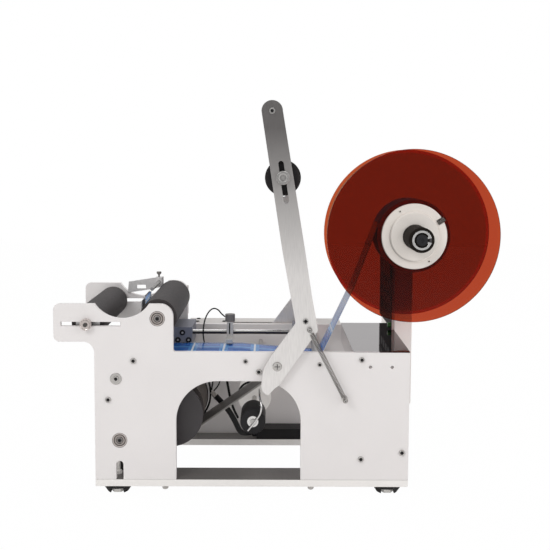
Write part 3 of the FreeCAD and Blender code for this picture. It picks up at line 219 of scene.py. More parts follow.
# Grain of brushed or turned metal runs along one axis; the others are the same all round
alongY, alongX, fineGrain, coatGrain = (40, 3000, 40), (3000, 40, 40), (900, 900, 900), (700, 700, 700)
looks = {
    # plateCoat: its glow is painted light, lifting both plates and the far plate's shaded inner face
    "plateCoat": newLook((234, 230, 229), 0.965, (0.34, 0.46), 0.12, grain=fineGrain, coat=0.15, coatRoughness=0.25,
        glow=0.02),
    # railCoat: upward faces painted dark, a painted reflection of the dark inside, and its glow is painted light
    "railCoat": newLook((230, 227, 224), 0.94, (0.3, 0.42), 0.1, glow=0.15, grain=coatGrain,
        facing={"way": (0, 0, 1), "edge": (0.5, 0.9), "colour": tint(98, 95, 93)}),
    # controlCoat: a brighter copy of housingCoat; its glow is painted light on the face that the red discs shade
    "controlCoat": newLook((240, 236, 233), 0.96, (0.36, 0.5), 0.15, grain=coatGrain, glow=0.16),
    "panelFace": newLook((232, 228, 225), 0.95, (0.5, 0.6), 0.05, specular=0.04,
        facing={"way": (-1, 0, 0), "edge": (0.5, 0.9), "colour": tint(44, 38, 40)}),
    "sleeveBlack": newLook((36, 32, 29), 0.8, (0.45, 0.6), 0.06, specular=0.02, grain=alongY),
    "axleSteel": newLook((86, 82, 80), 0.8, (0.3, 0.4), 0.05, metal=0.5, grain=alongY),
    "shaftSteel": newLook((120, 116, 114), 0.8, (0.3, 0.4), 0.05, metal=0.6),
    # nutSteel: its glow is painted light on the nuts shaded under the rails
    "nutSteel": newLook((232, 229, 225), 0.85, (0.2, 0.32), 0.03, metal=0.3, glow=0.22),
    # slotShadeCoat: plate colour, with painted shade on faces that look to the near side, seen through the slot
    "slotShadeCoat": newLook((232, 228, 226), 0.96, (0.4, 0.5), 0.1,
        facing={"way": (0, -1, 0), "edge": (0.5, 0.9), "colour": tint(38, 36, 35)}),
    "forkSteel": newLook((206, 203, 200), 0.85, (0.28, 0.4), 0.05, metal=0.35),
    "bracketSteel": newLook((230, 228, 228), 0.88, (0.3, 0.42), 0.04, metal=0.3),
    "softRubber": newLook((36, 33, 34), 0.75, (0.5, 0.65), 0.25, specular=0.25, grain=(300, 1600, 300)),
    "keyPlastic": newLook((56, 52, 55), 0.92, (0.4, 0.5), 0.05),
    "springSteel": newLook((142, 138, 135), 0.7, (0.14, 0.24), 0.02, metal=1.0),
    "housingCoat": newLook((214, 210, 207), 0.95, (0.36, 0.5), 0.18, grain=coatGrain),
    "rollerRubber": newLook((55, 49, 50), 0.7, (0.5, 0.72), 0.35, grain=(300, 1600, 300), mottle=(30, 8, 30)),
    "blackRubber": newLook((27, 26, 27), 0.7, (0.55, 0.75), 0.3, grain=fineGrain),
    "turnedSteel": newLook((196, 194, 192), 0.8, (0.22, 0.38), 0.06, metal=1.0, grain=alongY),
    # rodSteel: undersides painted darker, painted shade
    "rodSteel": newLook((205, 204, 203), 0.82, (0.14, 0.28), 0.04, metal=1.0, grain=alongX,
        facing={"way": (0, -0.3, -0.95), "edge": (-0.1, 0.25), "colour": tint(78, 70, 66)}),
    "brushedSheet": newLook((198, 199, 202), 0.86, (0.24, 0.4), 0.05, metal=1.0, grain=(60, 2500, 60)),
    # mirrorSheet: past a plane at its rear end it is painted dark, a painted reflection of the dark control panel
    "mirrorSheet": newLook((205, 200, 201), 0.95, (0.03, 0.07), 0.01, metal=1.0,
        beyond={"way": (1, -0.125, 0), "edge": (0.1605, 0.1618), "colour": tint(64, 46, 46)}),
    "aluminium": newLook((206, 206, 206), 0.85, (0.28, 0.42), 0.05, metal=1.0, grain=alongY),
    "blackSteel": newLook((44, 44, 47), 0.75, (0.34, 0.5), 0.1, metal=0.6, grain=(500, 1400, 500)),
    # whitePlastic: faces that look left and down get painted shade, for the hub step's shaded side wall
    "whitePlastic": newLook((236, 229, 222), 0.94, (0.4, 0.52), 0.08, grain=coatGrain,
        facing={"way": (-0.9, 0, -0.43), "edge": (0.3, 0.95), "colour": tint(150, 145, 140)}),
    "blackPlastic": newLook((31, 30, 32), 0.75, (0.36, 0.5), 0.12, specular=0.25, grain=(1200, 1200, 1200)),
    "anodised": newLook((146, 147, 158), 0.88, (0.45, 0.58), 0.06, specular=0.3, grain=alongX),
    "displayWindow": newLook((30, 33, 40), 0.9, (0.3, 0.4), 0.01, specular=0.1),
    "greenPlastic": newLook((62, 128, 66), 0.8, (0.2, 0.3), 0.03, coat=0.3),
    "beltRubber": newLook((36, 35, 36), 0.8, (0.55, 0.7), 0.3, grain=fineGrain),
    "motorPaint": newLook((150, 148, 148), 0.8, (0.3, 0.45), 0.08, metal=0.5, grain=alongY),
    "brightSteel": newLook((196, 193, 190), 0.85, (0.16, 0.26), 0.03, metal=1.0, grain=alongY),
    "bearingSteel": newLook((228, 227, 226), 0.92, (0.12, 0.2), 0.02, metal=1.0, grain=(400, 400, 400)),
    "warmSteel": newLook((214, 204, 200), 0.86, (0.25, 0.36), 0.05, metal=0.9, grain=(500, 500, 500)),
    "darkSeal": newLook((166, 158, 152), 0.8, (0.35, 0.5), 0.1),
    # canPaint: its glow is painted light
    "canPaint": newLook((216, 212, 208), 0.93, (0.35, 0.45), 0.06, glow=0.38),
    "knobGrey": newLook((118, 114, 112), 0.85, (0.4, 0.55), 0.2),
    "darkPlastic": newLook((64, 60, 62), 0.8, (0.35, 0.5), 0.08, grain=alongY),
}
finishes = {name: makeFinish(name, look) for name, look in looks.items()}


# Distance in metres from an axis across the machine at station x, z.
def roundDistance(tree, x, z):
    centre = station((x, 0, z))
    place = addNode(tree, "ShaderNodeTexCoord").outputs["Object"]
    moved = addNode(tree, "ShaderNodeMapping", {"Vector": place, "Location": (-centre[0], 0, -centre[2]),
                                                "Scale": (1, 0, 1)})
    return addNode(tree, "ShaderNodeVectorMath", {0: moved.outputs["Vector"]}, operation="LENGTH").outputs["Value"]


# Clear red sheet, brighter in a narrow rim where the light leaves its edge
def makeAcrylic(name, settings):
    material, tree, shader = newMaterial(name)
    rim = spread(tree, roundDistance(tree, *settings["axis"]), 0, 1, *settings["rim"])
    wipes = noise(tree, settings["wipeScale"], 5.0)
    feed(tree, shader, {"Base Color": mixColour(tree, rim, settings["colour"], settings["rimColour"]),
                        "Roughness": spread(tree, wipes, *settings["roughness"]), "Transmission Weight": 1.0,
                        "IOR": settings["ior"]})
    return material


acrylicSettings = {"axis": axles["reel"], "rim": (0.1265, 0.1292), "ior": 1.2, "roughness": (0.0, 0.012),
                   "wipeScale": (40, 40, 40)}
discColours = {"nearAcrylic": {"colour": (0.43, 0.056, 0.02, 1.0), "rimColour": (0.44, 0.06, 0.02, 1.0)},
               "farAcrylic": {"colour": (0.3, 0.12, 0.06, 1.0), "rimColour": (0.46, 0.08, 0.025, 1.0)}}
for name, colours in discColours.items():
    finishes[name] = makeAcrylic(name, {**acrylicSettings, **colours})


# Ground steel plate under a thin satin lacquer, painted darker towards its top end: a painted reflection of the dark
# surroundings on the upper arm.
def makeArmMetal(settings):
    material, tree, shader = newMaterial("armMetal")
    shadeRise = spread(tree, objectAxis(tree, "Z"), 0, 1, *settings["shadeHeights"])
    grain = noise(tree, settings["grainScale"], 4.0)
    body = mixColour(tree, shadeRise, settings["lower"], settings["shadedUpper"])
    worn = mixColour(tree, spread(tree, grain, 0, settings["wear"]), body, settings["worn"])
    feed(tree, shader, {"Base Color": worn, "Roughness": spread(tree, grain, *settings["roughness"]),
                        "Metallic": settings["metal"]})
    addBump(tree, shader, grain, settings["bump"])
    return material


armSettings = {"shadeHeights": (0.327, 0.54), "lower": tint(240, 237, 235), "shadedUpper": tint(116, 113, 112),
               "grainScale": (900, 60, 60), "metal": 0.75, "wear": 0.16, "worn": (0.25, 0.24, 0.24, 1),
               "roughness": (0.28, 0.42), "bump": 0.08}
finishes["armMetal"] = makeArmMetal(armSettings)


# Wound strip: rings of two colours by the distance from the axis, and the outer lap in the face colour.
def makeWound(name, settings):
    material, tree, shader = newMaterial(name)
    away = roundDistance(tree, *settings["axis"])
    lap = maths(tree, "DIVIDE", away, settings["pitch"])
    wobble = noise(tree, (50, 50, 50), 3.0)
    turned = maths(tree, "ADD", lap, wobble)
    saw = maths(tree, "FRACT", turned, 1.0)
    rings = mixColour(tree, spread(tree, saw, 0, 1, 0.45, 0.75), settings["edge"], settings["gap"])
    rim = spread(tree, away, 0, 1, settings["outer"] - 0.0004, settings["outer"] - 0.0002)  # the outer lap
    feed(tree, shader, {"Base Color": mixColour(tree, rim, rings, settings["face"]),
                        "Roughness": spread(tree, wobble, 0.4, 0.6)})
    addBump(tree, shader, saw, 0.25)
    return material


rollSettings = {"axis": axles["reel"], "pitch": 0.0009, "outer": 0.056, "edge": tint(176, 190, 205),
                "gap": tint(90, 130, 185), "face": tint(40, 108, 212)}
paperRollSettings = {"axis": axles["rewind"], "pitch": 0.0011, "outer": 0.0484, "edge": tint(92, 84, 82),
                     "gap": tint(60, 54, 54), "face": tint(120, 110, 104)}
finishes["labelRoll"] = makeWound("labelRoll", rollSettings)
finishes["woundPaper"] = makeWound("woundPaper", paperRollSettings)
print("finishes made:", len(finishes))


# Meshes: grids of points worked out as whole arrays
# Quads between neighbouring points of a grid, wrapped round where the grid closes.
def gridFaces(across, along, closeAcross, closeAlong):
    i = np.arange(across if closeAcross else across - 1)[:, None]
    j = np.arange(along if closeAlong else along - 1)[None, :]
    nextI, nextJ = (i + 1) % across, (j + 1) % along
    return np.stack([i * along + j, nextI * along + j, nextI * along + nextJ, i * along + nextJ], -1).reshape(-1, 4)


# Several (points, faces) as one, each part's faces counted on from the points before it.
def joined(parts):
    starts = np.cumsum([0] + [len(points) for points, _ in parts])
    return np.vstack([p for p, _ in parts]), np.vstack([f + start for (_, f), start in zip(parts, starts)])


axes = {"x": (1, 2, 0), "y": (2, 0, 1), "z": (0, 1, 2)}


# A turned part: at angle a the point of the profile stands at radius r(a) and its distance along the axis.
# r(a) is the profile's radius, on hexagon rows divided by the cosine of the angle from the nearest flat, and on
# knurled rows lessened by a rounded groove that repeats round the rim.
def turned(centre, profile, axis="y", count=48, hexRows=(), knurlRows=(), knurlCount=60, knurlDepth=0.03, loop=False):
    profile = np.asarray(profile, float)
    angle = np.arange(count) * 2 * math.pi / count
    radius = np.repeat(profile[None, :, 0], count, 0)
    flat = np.cos((angle + math.pi / 6) % (math.pi / 3) - math.pi / 6)
    groove = 1 - knurlDepth * (0.5 + 0.5 * np.cos(angle * knurlCount))
    for row in hexRows:
        radius[:, row] /= flat
    for row in knurlRows:
        radius[:, row] *= groove
    local = np.stack([radius * np.cos(angle)[:, None], radius * np.sin(angle)[:, None],
                      np.repeat(profile[None, :, 1], count, 0)], -1)
    points = np.empty_like(local)
    for k, target in enumerate(axes[axis]):
        points[..., target] = local[..., k]
    return station(points.reshape(-1, 3) + np.asarray(centre, float)), gridFaces(count, len(profile), True, loop)


def outward(rows, way):  # rows of radius and depth from a face, turned to the side that the face looks to
    return [(radius, way * depth) for radius, depth in rows]


def disc(place, radius, depth, count=24):
    return turned(place, [(0, 0), (radius, 0), (radius, depth), (0, depth)], "y", count)


# A rod with eased ends, and a collar with eased rims between two depths
def rod(place, radius, length, ease=0.5, count=40):
    rows = [(0, 0), (radius - ease, 0), (radius, 0.5), (radius, length - 0.5), (radius - ease, length), (0, length)]
    return turned(place, rows, "y", count)


def collar(axle, low, high, bore, radius):
    span, rim = high - low, radius - 0.4
    rows = [(bore, 0), (rim, 0), (radius, 0.4), (radius, span - 0.4), (rim, span), (bore, span)]
    x, z = axle
    return turned((x, low, z), rows, "y", 40, loop=True)


# A round bar along a path: a circle in the plane of the path's normal and binormal at each point.
def swept(path, radius, sides=10, turnedFrom=(0, 1, 0)):
    path = np.asarray(path, float)
    tangent = np.gradient(path, axis=0)
    tangent /= np.linalg.norm(tangent, axis=1)[:, None]
    side = np.cross(tangent, np.asarray(turnedFrom, float))
    side /= np.linalg.norm(side, axis=1)[:, None]
    other = np.cross(tangent, side)
    angle = np.arange(sides) * 2 * math.pi / sides
    radius = np.broadcast_to(radius, len(path))[:, None, None]
    ring = side[:, None] * np.cos(angle)[None, :, None] + other[:, None] * np.sin(angle)[None, :, None]
    # the ends close to a point on the axis
    points = np.concatenate([np.repeat(path[:1, None], sides, 1), path[:, None] + radius * ring,
                             np.repeat(path[-1:, None], sides, 1)])
    return station(points.reshape(-1, 3)), gridFaces(len(points), sides, False, True)


weldReach = 2e-6  # points this near in metres become one


# One object from parts, riding on the frame or another body, or in the place of a CAD node.
def makePiece(name, parts, finish, body=None, node=None, slot=None, sharp=32, bevel=0.0):
    points, faces = joined(parts)
    mesh = bpy.data.meshes.new(name)
    mesh.from_pydata(points.tolist(), [], faces.tolist())
    piece = addObject(name, mesh)
    work = bmesh.new()
    work.from_mesh(mesh)
    bmesh.ops.remove_doubles(work, verts=work.verts, dist=weldReach)
    bmesh.ops.dissolve_degenerate(work, edges=work.edges, dist=weldReach / 4)
    bmesh.ops.recalc_face_normals(work, faces=work.faces)
    work.to_mesh(mesh)
    work.free()
    finishPiece(piece, finish, sharp, bevel)
    settle(piece, body, node, slot)
    return piece


def finishPiece(piece, finish, sharp, bevel):
    mesh = piece.data
    mesh.materials.append(finishes[finish])
    mesh.shade_smooth()
    mesh.set_sharp_from_angle(angle=math.radians(sharp))
    if bevel:
        edge = piece.modifiers.new("edge", "BEVEL")
        edge.width, edge.segments, edge.limit_method, edge.angle_limit = bevel, 2, "ANGLE", math.radians(sharp)
        edge.use_clamp_overlap, edge.harden_normals = False, True


def settle(piece, body, node, slot):
    if node:
        body = body or nodes[node]["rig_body"]
        slot = slot or slotOf[node]
        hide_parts(node)
        dressed.add(node)
    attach(piece, body or "frame")


# A CAD node's own shape with its edges broken: a welded copy under a bevel.
def eased(node, finish, width):
    source = nodes[node].data
    points = np.empty(len(source.vertices) * 3)
    source.vertices.foreach_get("co", points)
    mesh = bpy.data.meshes.new(node + "_eased")
    mesh.from_pydata(points.reshape(-1, 3).tolist(), [], [list(face.vertices) for face in source.polygons])
    work = bmesh.new()
    work.from_mesh(mesh)
    bmesh.ops.remove_doubles(work, verts=work.verts, dist=weldReach)
    bmesh.ops.dissolve_limit(work, angle_limit=math.radians(0.3), verts=work.verts, edges=work.edges)
    work.to_mesh(mesh)
    work.free()
    piece = addObject(node + "_eased", mesh)
    finishPiece(piece, finish, 32, width)
    settle(piece, None, node, None)
    return piece


# Cords: the sensor's lead over and down behind the table, and the sleeved supply lead towards the far rail
leads = {
    "sensor_lead": {"diameter": 2.2, "stiffness": "limp", "finish": "blackPlastic", "route": [
        (240.8, 158, 241), (235, 157.5, 245.5), (230, 156.5, 253), (221, 155.5, 256), (212, 154, 247),
        (206.5, 153, 231),
        (205, 152.5, 213), (208, 152.5, 196), (215, 152.5, 178), (226, 152, 160), (233, 151.5, 145),
        (232, 151.5, 129.2),
        (222.8, 151.5, 120)]},
    "supply_lead": {"diameter": 9, "stiffness": "medium", "finish": "blackRubber", "route": [
        (225.5, 151.5, 111.5), (234, 151.5, 103), (247.5, 152, 87), (258, 156, 67), (264, 170, 47), (272, 190, 37),
        (285, 205, 35.2)]},
}


def makeLead(name, lead):
    curve = bpy.data.curves.new(name + "_cord", "CURVE")
    curve.dimensions = "3D"
    curve.bevel_depth = lead["diameter"] / 2000
    curve.bevel_resolution = 5
    curve.use_fill_caps = True
    line = curve.splines.new("NURBS")
    places = station(lead["route"])
    line.points.add(len(places) - 1)
    line.points.foreach_set("co", np.hstack([places, np.ones((len(places), 1))]).ravel())
    line.order_u = 3
    line.use_endpoint_u = True
    line.resolution_u = 12
    curve.materials.append(finishes[lead["finish"]])
    cord = addObject(name + "_cord", curve)
    settle(cord, "frame", name, None)
    bare = curve.copy()  # the same line with no thickness, to measure it
    bare.bevel_depth = 0
    holder = addObject("measure", bare)
    bpy.context.view_layer.update()
    ruler = bpy.data.meshes.new_from_object(holder.evaluated_get(bpy.context.evaluated_depsgraph_get()))
    spots = np.array([v.co for v in ruler.vertices])
    bpy.data.objects.remove(holder)
    length = float(np.linalg.norm(np.diff(spots, axis=0), axis=1).sum())
    print(name, "length", round(length, 4))
    return cord, length, places


# A turned part whose axis leans: worked out upright at the zero station, then turned and moved
def leaning(place, direction, profile, count=32, **rows):
    points, faces = turned((0, 0, 0), profile, "z", count, **rows)
    local = points * 1000 - machineOrigin
    up = unit(direction)
    side = unit(np.cross((0.0, 1.0, 0.0), up))
    return station(local @ np.array([side, np.cross(up, side), up]) + np.asarray(place, float)), faces


plugProfile = [(0, 0), (3.4, 0), (4, 0.6), (4, 4.4), (3.4, 4.6), (3.4, 5.4), (4, 5.6), (4, 10.7), (3.4, 11.3),
               (0, 11.3)]
connector = makePiece("lead_connector", [leaning((218.5, 151.5, 118.5), (1, 0, -1), plugProfile, knurlRows=(2, 3),
                                                 knurlCount=8, knurlDepth=0.08)],
                      "whitePlastic", slot="white_plastic")
gland = makePiece("supply_gland", [turned((284, 205, 35.2), [(0, 0), (5, 0), (6.4, 1), (6.4, 8), (0, 8)], "x", 36,
                                          hexRows=(2, 3))], "blackPlastic", slot="black_plastic")
for name, lead in leads.items():
    cord, length, places = makeLead(name, lead)
print("leads made")


# Label web and backing web: straight runs and arcs round the stops, carried across the label width
# The middle line of a web in x and z with the distance along it. Between two stops the web is the line that
# touches both circles; round a stop it is the arc between the two touching points.
def webPath(stops, step=1.0):
    stops = np.asarray(stops, float)
    gap = np.diff(stops[:, :2], axis=0)
    heading = np.arctan2(gap[:, 1], gap[:, 0]) + np.arcsin(-np.diff(stops[:, 2]) / np.hypot(*gap.T))
    right = np.stack([np.sin(heading), -np.cos(heading)], 1)
    leave = stops[:-1, :2] + stops[:-1, 2:] * right
    meet = stops[1:, :2] + stops[1:, 2:] * right
    line = [leave[:1]]
    for i, spot in enumerate(meet):
        line.append(spot[None])
        if i + 1 < len(meet):
            turn = (heading[i + 1] - heading[i] + math.pi) % (2 * math.pi) - math.pi
            radius = stops[i + 1, 2]
            if radius * turn < 0:
                turn -= math.copysign(2 * math.pi, turn)
            count = max(3, int(abs(radius * turn) / step))
            way = heading[i] + turn * np.linspace(0, 1, count)[1:]
            line.append(stops[i + 1, :2] + radius * np.stack([np.sin(way), -np.cos(way)], 1))
    line = np.vstack(line)
    return line, np.concatenate([[0], np.cumsum(np.hypot(*np.diff(line, axis=0).T))])


def makeWeb(name, web, node):
    line, run = webPath(web["stops"])
    edges = np.linspace(*web["width"], 9)
    points = np.empty((len(line), len(edges), 3))
    points[..., 0], points[..., 2] = line[:, None, 0], line[:, None, 1]
    points[..., 1] = edges[None, :]
    mesh = bpy.data.meshes.new(name)
    faces = gridFaces(len(line), len(edges), False, False)
    mesh.from_pydata(station(points.reshape(-1, 3)).tolist(), [], faces.tolist())
    alongRun = np.repeat(run[:, None], len(edges), 1)
    acrossRun = np.repeat((edges - edges[0])[None], len(line), 0)
    flat = np.stack([alongRun, acrossRun], -1).reshape(-1, 2) / 1000
    layer = mesh.uv_layers.new(name="along")
    layer.data.foreach_set("uv", flat[faces.ravel()].ravel())
    piece = addObject(name, mesh)
    finishPiece(piece, web["finish"], 60, 0)
    wall = piece.modifiers.new("wall", "SOLIDIFY")
    wall.thickness, wall.offset = web["thickness"] / 1000, 0
    settle(piece, None, node, None)


def webPlace(tree):  # X is the distance along the web and Y the distance across it, in metres
    place = addNode(tree, "ShaderNodeUVMap", uv_map="along").outputs["UV"]
    return addNode(tree, "ShaderNodeSeparateXYZ", {0: place})


# Printed labels on their liner, by the distance along the web and across it. Higher up it takes painted light, a
# paler colour where the web is seen against the light, and then painted shade, a dark colour behind the red disc.
def makeLabels(name, settings):
    material, tree, shader = newMaterial(name)
    split = webPlace(tree)
    shifted = maths(tree, "ADD", split.outputs["X"], settings["start"])
    count = maths(tree, "DIVIDE", shifted, settings["pitch"])
    share = maths(tree, "FRACT", count)
    fromMiddle = maths(tree, "SUBTRACT", share, 0.5)
    offAlong = maths(tree, "ABSOLUTE", fromMiddle)
    fromCentre = maths(tree, "SUBTRACT", split.outputs["Y"], settings["width"] / 2)
    offAcross = maths(tree, "ABSOLUTE", fromCentre)
    cutAlong = 0.5 - settings["gap"] / settings["pitch"] / 2
    cutAcross = settings["width"] / 2 - settings["margin"]
    outAlong = spread(tree, offAlong, 0, 1, cutAlong - 0.004, cutAlong + 0.004)
    outAcross = spread(tree, offAcross, 0, 1, cutAcross - 0.0002, cutAcross + 0.0002)
    outside = maths(tree, "MAXIMUM", outAlong, outAcross)
    band = spread(tree, offAcross, 1, 0, *settings["band"])
    paleEnds = spread(tree, offAlong, 0, 1, *settings["paleEnd"])
    pale = maths(tree, "MAXIMUM", band, paleEnds)
    printed = mixColour(tree, pale, settings["deep"], settings["pale"])
    face = mixColour(tree, outside, printed, settings["liner"])
    # Painted light higher up, then painted shade behind the red disc
    height = objectAxis(tree, "Z")
    rise = spread(tree, height, 0, settings["through"], *settings["lit"])
    rear = spread(tree, objectAxis(tree, "X"), 0, 1, *settings["rear"])
    lit = maths(tree, "MULTIPLY", rise, rear)
    face = mixColour(tree, lit, face, settings["litColour"])
    face = mixColour(tree, spread(tree, height, 0, settings["behind"], *settings["shaded"]), face,
                     settings["shadedColour"])
    feed(tree, shader, {"Base Color": face, "Roughness": spread(tree, outside, 0.22, 0.5, 0, 1),
                        "Coat Weight": settings["coat"]})
    addBump(tree, shader, spread(tree, outside, 1, 0, 0, 1), 0.5, 0.0001)
    return material


# Backing paper with a little glow, painted light, and painted shade past a line along the web
def makePaper(name, settings):
    material, tree, shader = newMaterial(name)
    fibre = noise(tree, settings["fibreScale"], 5.0)
    across = webPlace(tree).outputs["Y"]
    paper = mixColour(tree, spread(tree, fibre, 0, 1), settings["dark"], settings["pale"])
    paper = mixColour(tree, spread(tree, across, 0, 1, *settings["edge"]), paper, settings["shaded"])
    feed(tree, shader, {"Base Color": paper, "Roughness": spread(tree, fibre, 0.3, 0.5), "Emission Color": paper,
                        "Emission Strength": settings["glow"]})
    addBump(tree, shader, fibre, 0.1)
    return material


# Lengths in metres; paleEnd is the share of a label's half length, and through and behind say how much of the painted
# light and of the painted shade shows
labelSettings = {
    "pitch": 0.0485, "gap": 0.003, "start": 0.012, "width": 0.068, "margin": 0.002, "band": (0.004, 0.0045),
    "paleEnd": (0.36, 0.365), "coat": 0.3, "deep": tint(20, 98, 184), "pale": tint(66, 142, 212),
    "liner": tint(214, 222, 232), "through": 0.6, "lit": (0.215, 0.275), "rear": (0.0, 0.02),
    "litColour": tint(206, 208, 226), "behind": 0.95, "shaded": (0.288, 0.298), "shadedColour": tint(22, 20, 44)}
# glow is painted light; shaded is the colour of the painted shade
paperSettings = {"fibreScale": (120, 120, 120), "dark": tint(190, 186, 182), "pale": tint(212, 208, 205),
                 "glow": 0.07, "edge": (0.01, 0.015), "shaded": tint(104, 99, 97)}
finishes["labels"] = makeLabels("labels", labelSettings)
finishes["linerPaper"] = makePaper("linerPaper", paperSettings)
webs = {
    "label_web": {"finish": "labels", "thickness": 0.4, "width": (78.5, 146.5), "stops": [
        (532.5, 380.5, 56.35), (164.4, 413.6, -300), (386.6, 198.7, -7.35), (268, 199.3, 1.35), (126.65, 204.65, -4),
        (122.65, 285, 0)]},
    "backing_web": {"finish": "linerPaper", "thickness": 0.4, "width": (78.5, 146.5), "stops": [
        (119.95, 285, 0), (123.95, 181.35, 4), (312, 168, -9.35), (164.5, 112.4, -48.75), (152.5, 63.65, 0)]},
}
for name, web in webs.items():
    makeWeb(name + "_strip", web, name)
print("webs made")

# Tension spring: close turns between two posts, an end eye round each post
springSettings = {"top": onAxle("springTop", -15.0), "low": onAxle("springLow", -15.0), "coil": 3.1, "wire": 0.5,
                  "turns": 52, "eye": 3.2}


# Helix: the point goes round the axis at the coil's radius while it moves evenly along it; each eye is a ring.
def makeSpring(spring):
    top, low = np.array(spring["top"]), np.array(spring["low"])
    down = unit(low - top)
    across = np.array([0.0, 1.0, 0.0])
    other = np.cross(down, across)
    start, end = top + down * 2 * spring["eye"], low - down * 2 * spring["eye"]
    share = np.linspace(0, 1, spring["turns"] * 14)[:, None]
    angle = share * spring["turns"] * 2 * math.pi
    helix = start + (end - start) * share + spring["coil"] * (np.cos(angle) * across + np.sin(angle) * other)
    parts = [swept(helix, spring["wire"], 8, down)]
    for middle in (top, low):
        bend = np.linspace(0, 2 * math.pi, 25)[:-1, None]
        away = np.cos(bend) * down + np.sin(bend) * other
        turn = (np.arange(8) * 2 * math.pi / 8)[None, :, None]
        section = away[:, None] * np.cos(turn) + across * np.sin(turn)
        circle = (middle + spring["eye"] * away)[:, None] + spring["wire"] * section
        parts.append((station(circle.reshape(-1, 3)), gridFaces(24, 8, True, True)))
    return parts, station(low), station(top)


parts, springLow, springTop = makeSpring(springSettings)
spring = makePiece("tension_spring_coil", parts, "springSteel", body="frame", node="tension_spring", sharp=60)
spring.parent = None
del spring["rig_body"]
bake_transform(spring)
print("spring made")


# A block between two corners in mm
def block(low, high):
    points = [(x, y, z) for x in (low[0], high[0]) for y in (low[1], high[1]) for z in (low[2], high[2])]
    faces = [[0, 1, 3, 2], [4, 6, 7, 5], [0, 4, 5, 1], [2, 3, 7, 6], [0, 2, 6, 4], [1, 5, 7, 3]]
    return station(np.array(points, float)), np.array(faces)


# Painted shade of a cross recess in a screw's face: two thin dark bars
def crossRecessShade(place, reach, width, depth=0.06):
    x, y, z = place
    return [block((x - reach, y - depth, z - width / 2), (x + reach, y, z + width / 2)),
            block((x - width / 2, y - depth, z - reach), (x + width / 2, y, z + reach))]


# Screws: a round head with a hexagon socket; way is -1 where it faces the near side and 1 where it faces the far side
def socketHead(place, radius, height, socket, way=-1, axis="y", washer=None):
    deep = height * 0.6
    rows = [(0, height - deep), (socket, height - deep), (socket, height), (radius - 0.5, height),
            (radius, height - 0.5), (radius, 0), (0, 0)]
    parts = [turned(place, outward(rows, way), axis, 36, hexRows=(1, 2))]
    if washer:
        rim = [(0, 0), (washer, 0), (washer, 0.7), (washer - 0.4, 1.0), (0, 1.0)]
        parts.append(turned(place, outward(rim, way), axis, 48))
    return parts


# x, z and radius: the first six have a twin in the far plate
nearScrews = [(78.5, 145.6, 4.3), (90.1, 176.6, 4.3), (115.6, 203.2, 4.3), (298.0, 187.6, 4.3), (508.2, 68.0, 4.3),
              (448.0, 58.0, 4.3), (278.6, 203.1, 3.5), (386.6, 198.7, 3.5), (447.9, 205.9, 4.0)]
screwParts = []
for x, z, radius in nearScrews:
    screwParts += socketHead((x, 0, z), radius, 2.6, radius * 0.58, washer=8.6 if (x, z) == (90.1, 176.6) else None)
for x, z, radius in nearScrews[:6]:
    screwParts += socketHead((x, 235, z), radius, 2.6, 2.5, way=1)
boltRows = [(0, 1.8), (1.4, 1.8), (1.4, 0), (2.5, 0), (3.9, 0.9), (4.5, 2.2), (4.5, 4.8), (0, 4.8)]
for x in (160.8, 375.0):
    screwParts += [turned((x, y, 11.2), boltRows, "z", 32, hexRows=(1, 2)) for y in (4, 231)]
pivotProfile = [(0, 0), (8, 0), (8, 3.7), (5, 3.7), (5, 10.3), (6.8, 10.3), (6.8, 11.7), (6.1, 12.4), (0, 12.5)]
for y, way in plateFaces:
    screwParts.append(turned(onAxle("armPivot", y), outward(pivotProfile, way), "y", 48))
postRows = [(0, 0), (4.5, 0), (4.5, -3), (2.5, -3.4), (2.5, -12.2), (1.7, -12.6), (1.7, -16.6), (2.5, -17),
            (2.5, -18.6), (2.1, -19), (0, -19)]
screwParts.append(turned(onAxle("springLow", 0), postRows, "y", 32))
makePiece("plate_screws_made", screwParts, "brightSteel", node="plate_screws", bevel=0.00012)
# Painted shade: black discs on the socket floors and black bars for the cross recesses
socketShade = [disc((x, -1.0, z), radius * 0.56, -0.1) for x, z, radius in nearScrews]
socketShade += crossRecessShade(onAxle("armPivot", -12.5), 4.0, 1.0) + crossRecessShade(onAxle("springLow", -19.0), 1.5, 0.7)
makePiece("socket_shade_floors", socketShade, "blackPlastic", slot="black_steel", sharp=20)
# A plate behind the foot's stud whose near face is painted shade, seen dark through the slot
makePiece("stud_shade_plate", [block((80, 36, 27), (112, 37.5, 62))], "slotShadeCoat", slot="cream_paint", bevel=0.0003)


# Ball bearing seen from its face: rows of radius and depth from the face round the ring's section
def bearing(place, way):
    section = [(4, 0.3), (6, 0), (6.3, 0.5), (6.3, 0.9), (8.7, 0.9), (8.7, 0.5), (9, 0), (10.7, 0), (11, 0.4),
               (11, 7), (4, 7)]
    return turned(place, outward(section, way), "y", 64, loop=True)


spots = [(150.6, 265), (94.6, 84.9)]
bearings = [bearing((x, 0.5, z), 1) for x, z in spots] + [bearing((x, 234.5, z), -1) for x, z in spots]
makePiece("ball_bearings_made", bearings, "warmSteel", node="ball_bearings", bevel=0.0001)


def flatRing(place, inner, outer, front, back):
    rows = [(inner, front), (outer, front), (outer, back), (inner, back)]
    return turned(place, rows, "y", 64, loop=True)


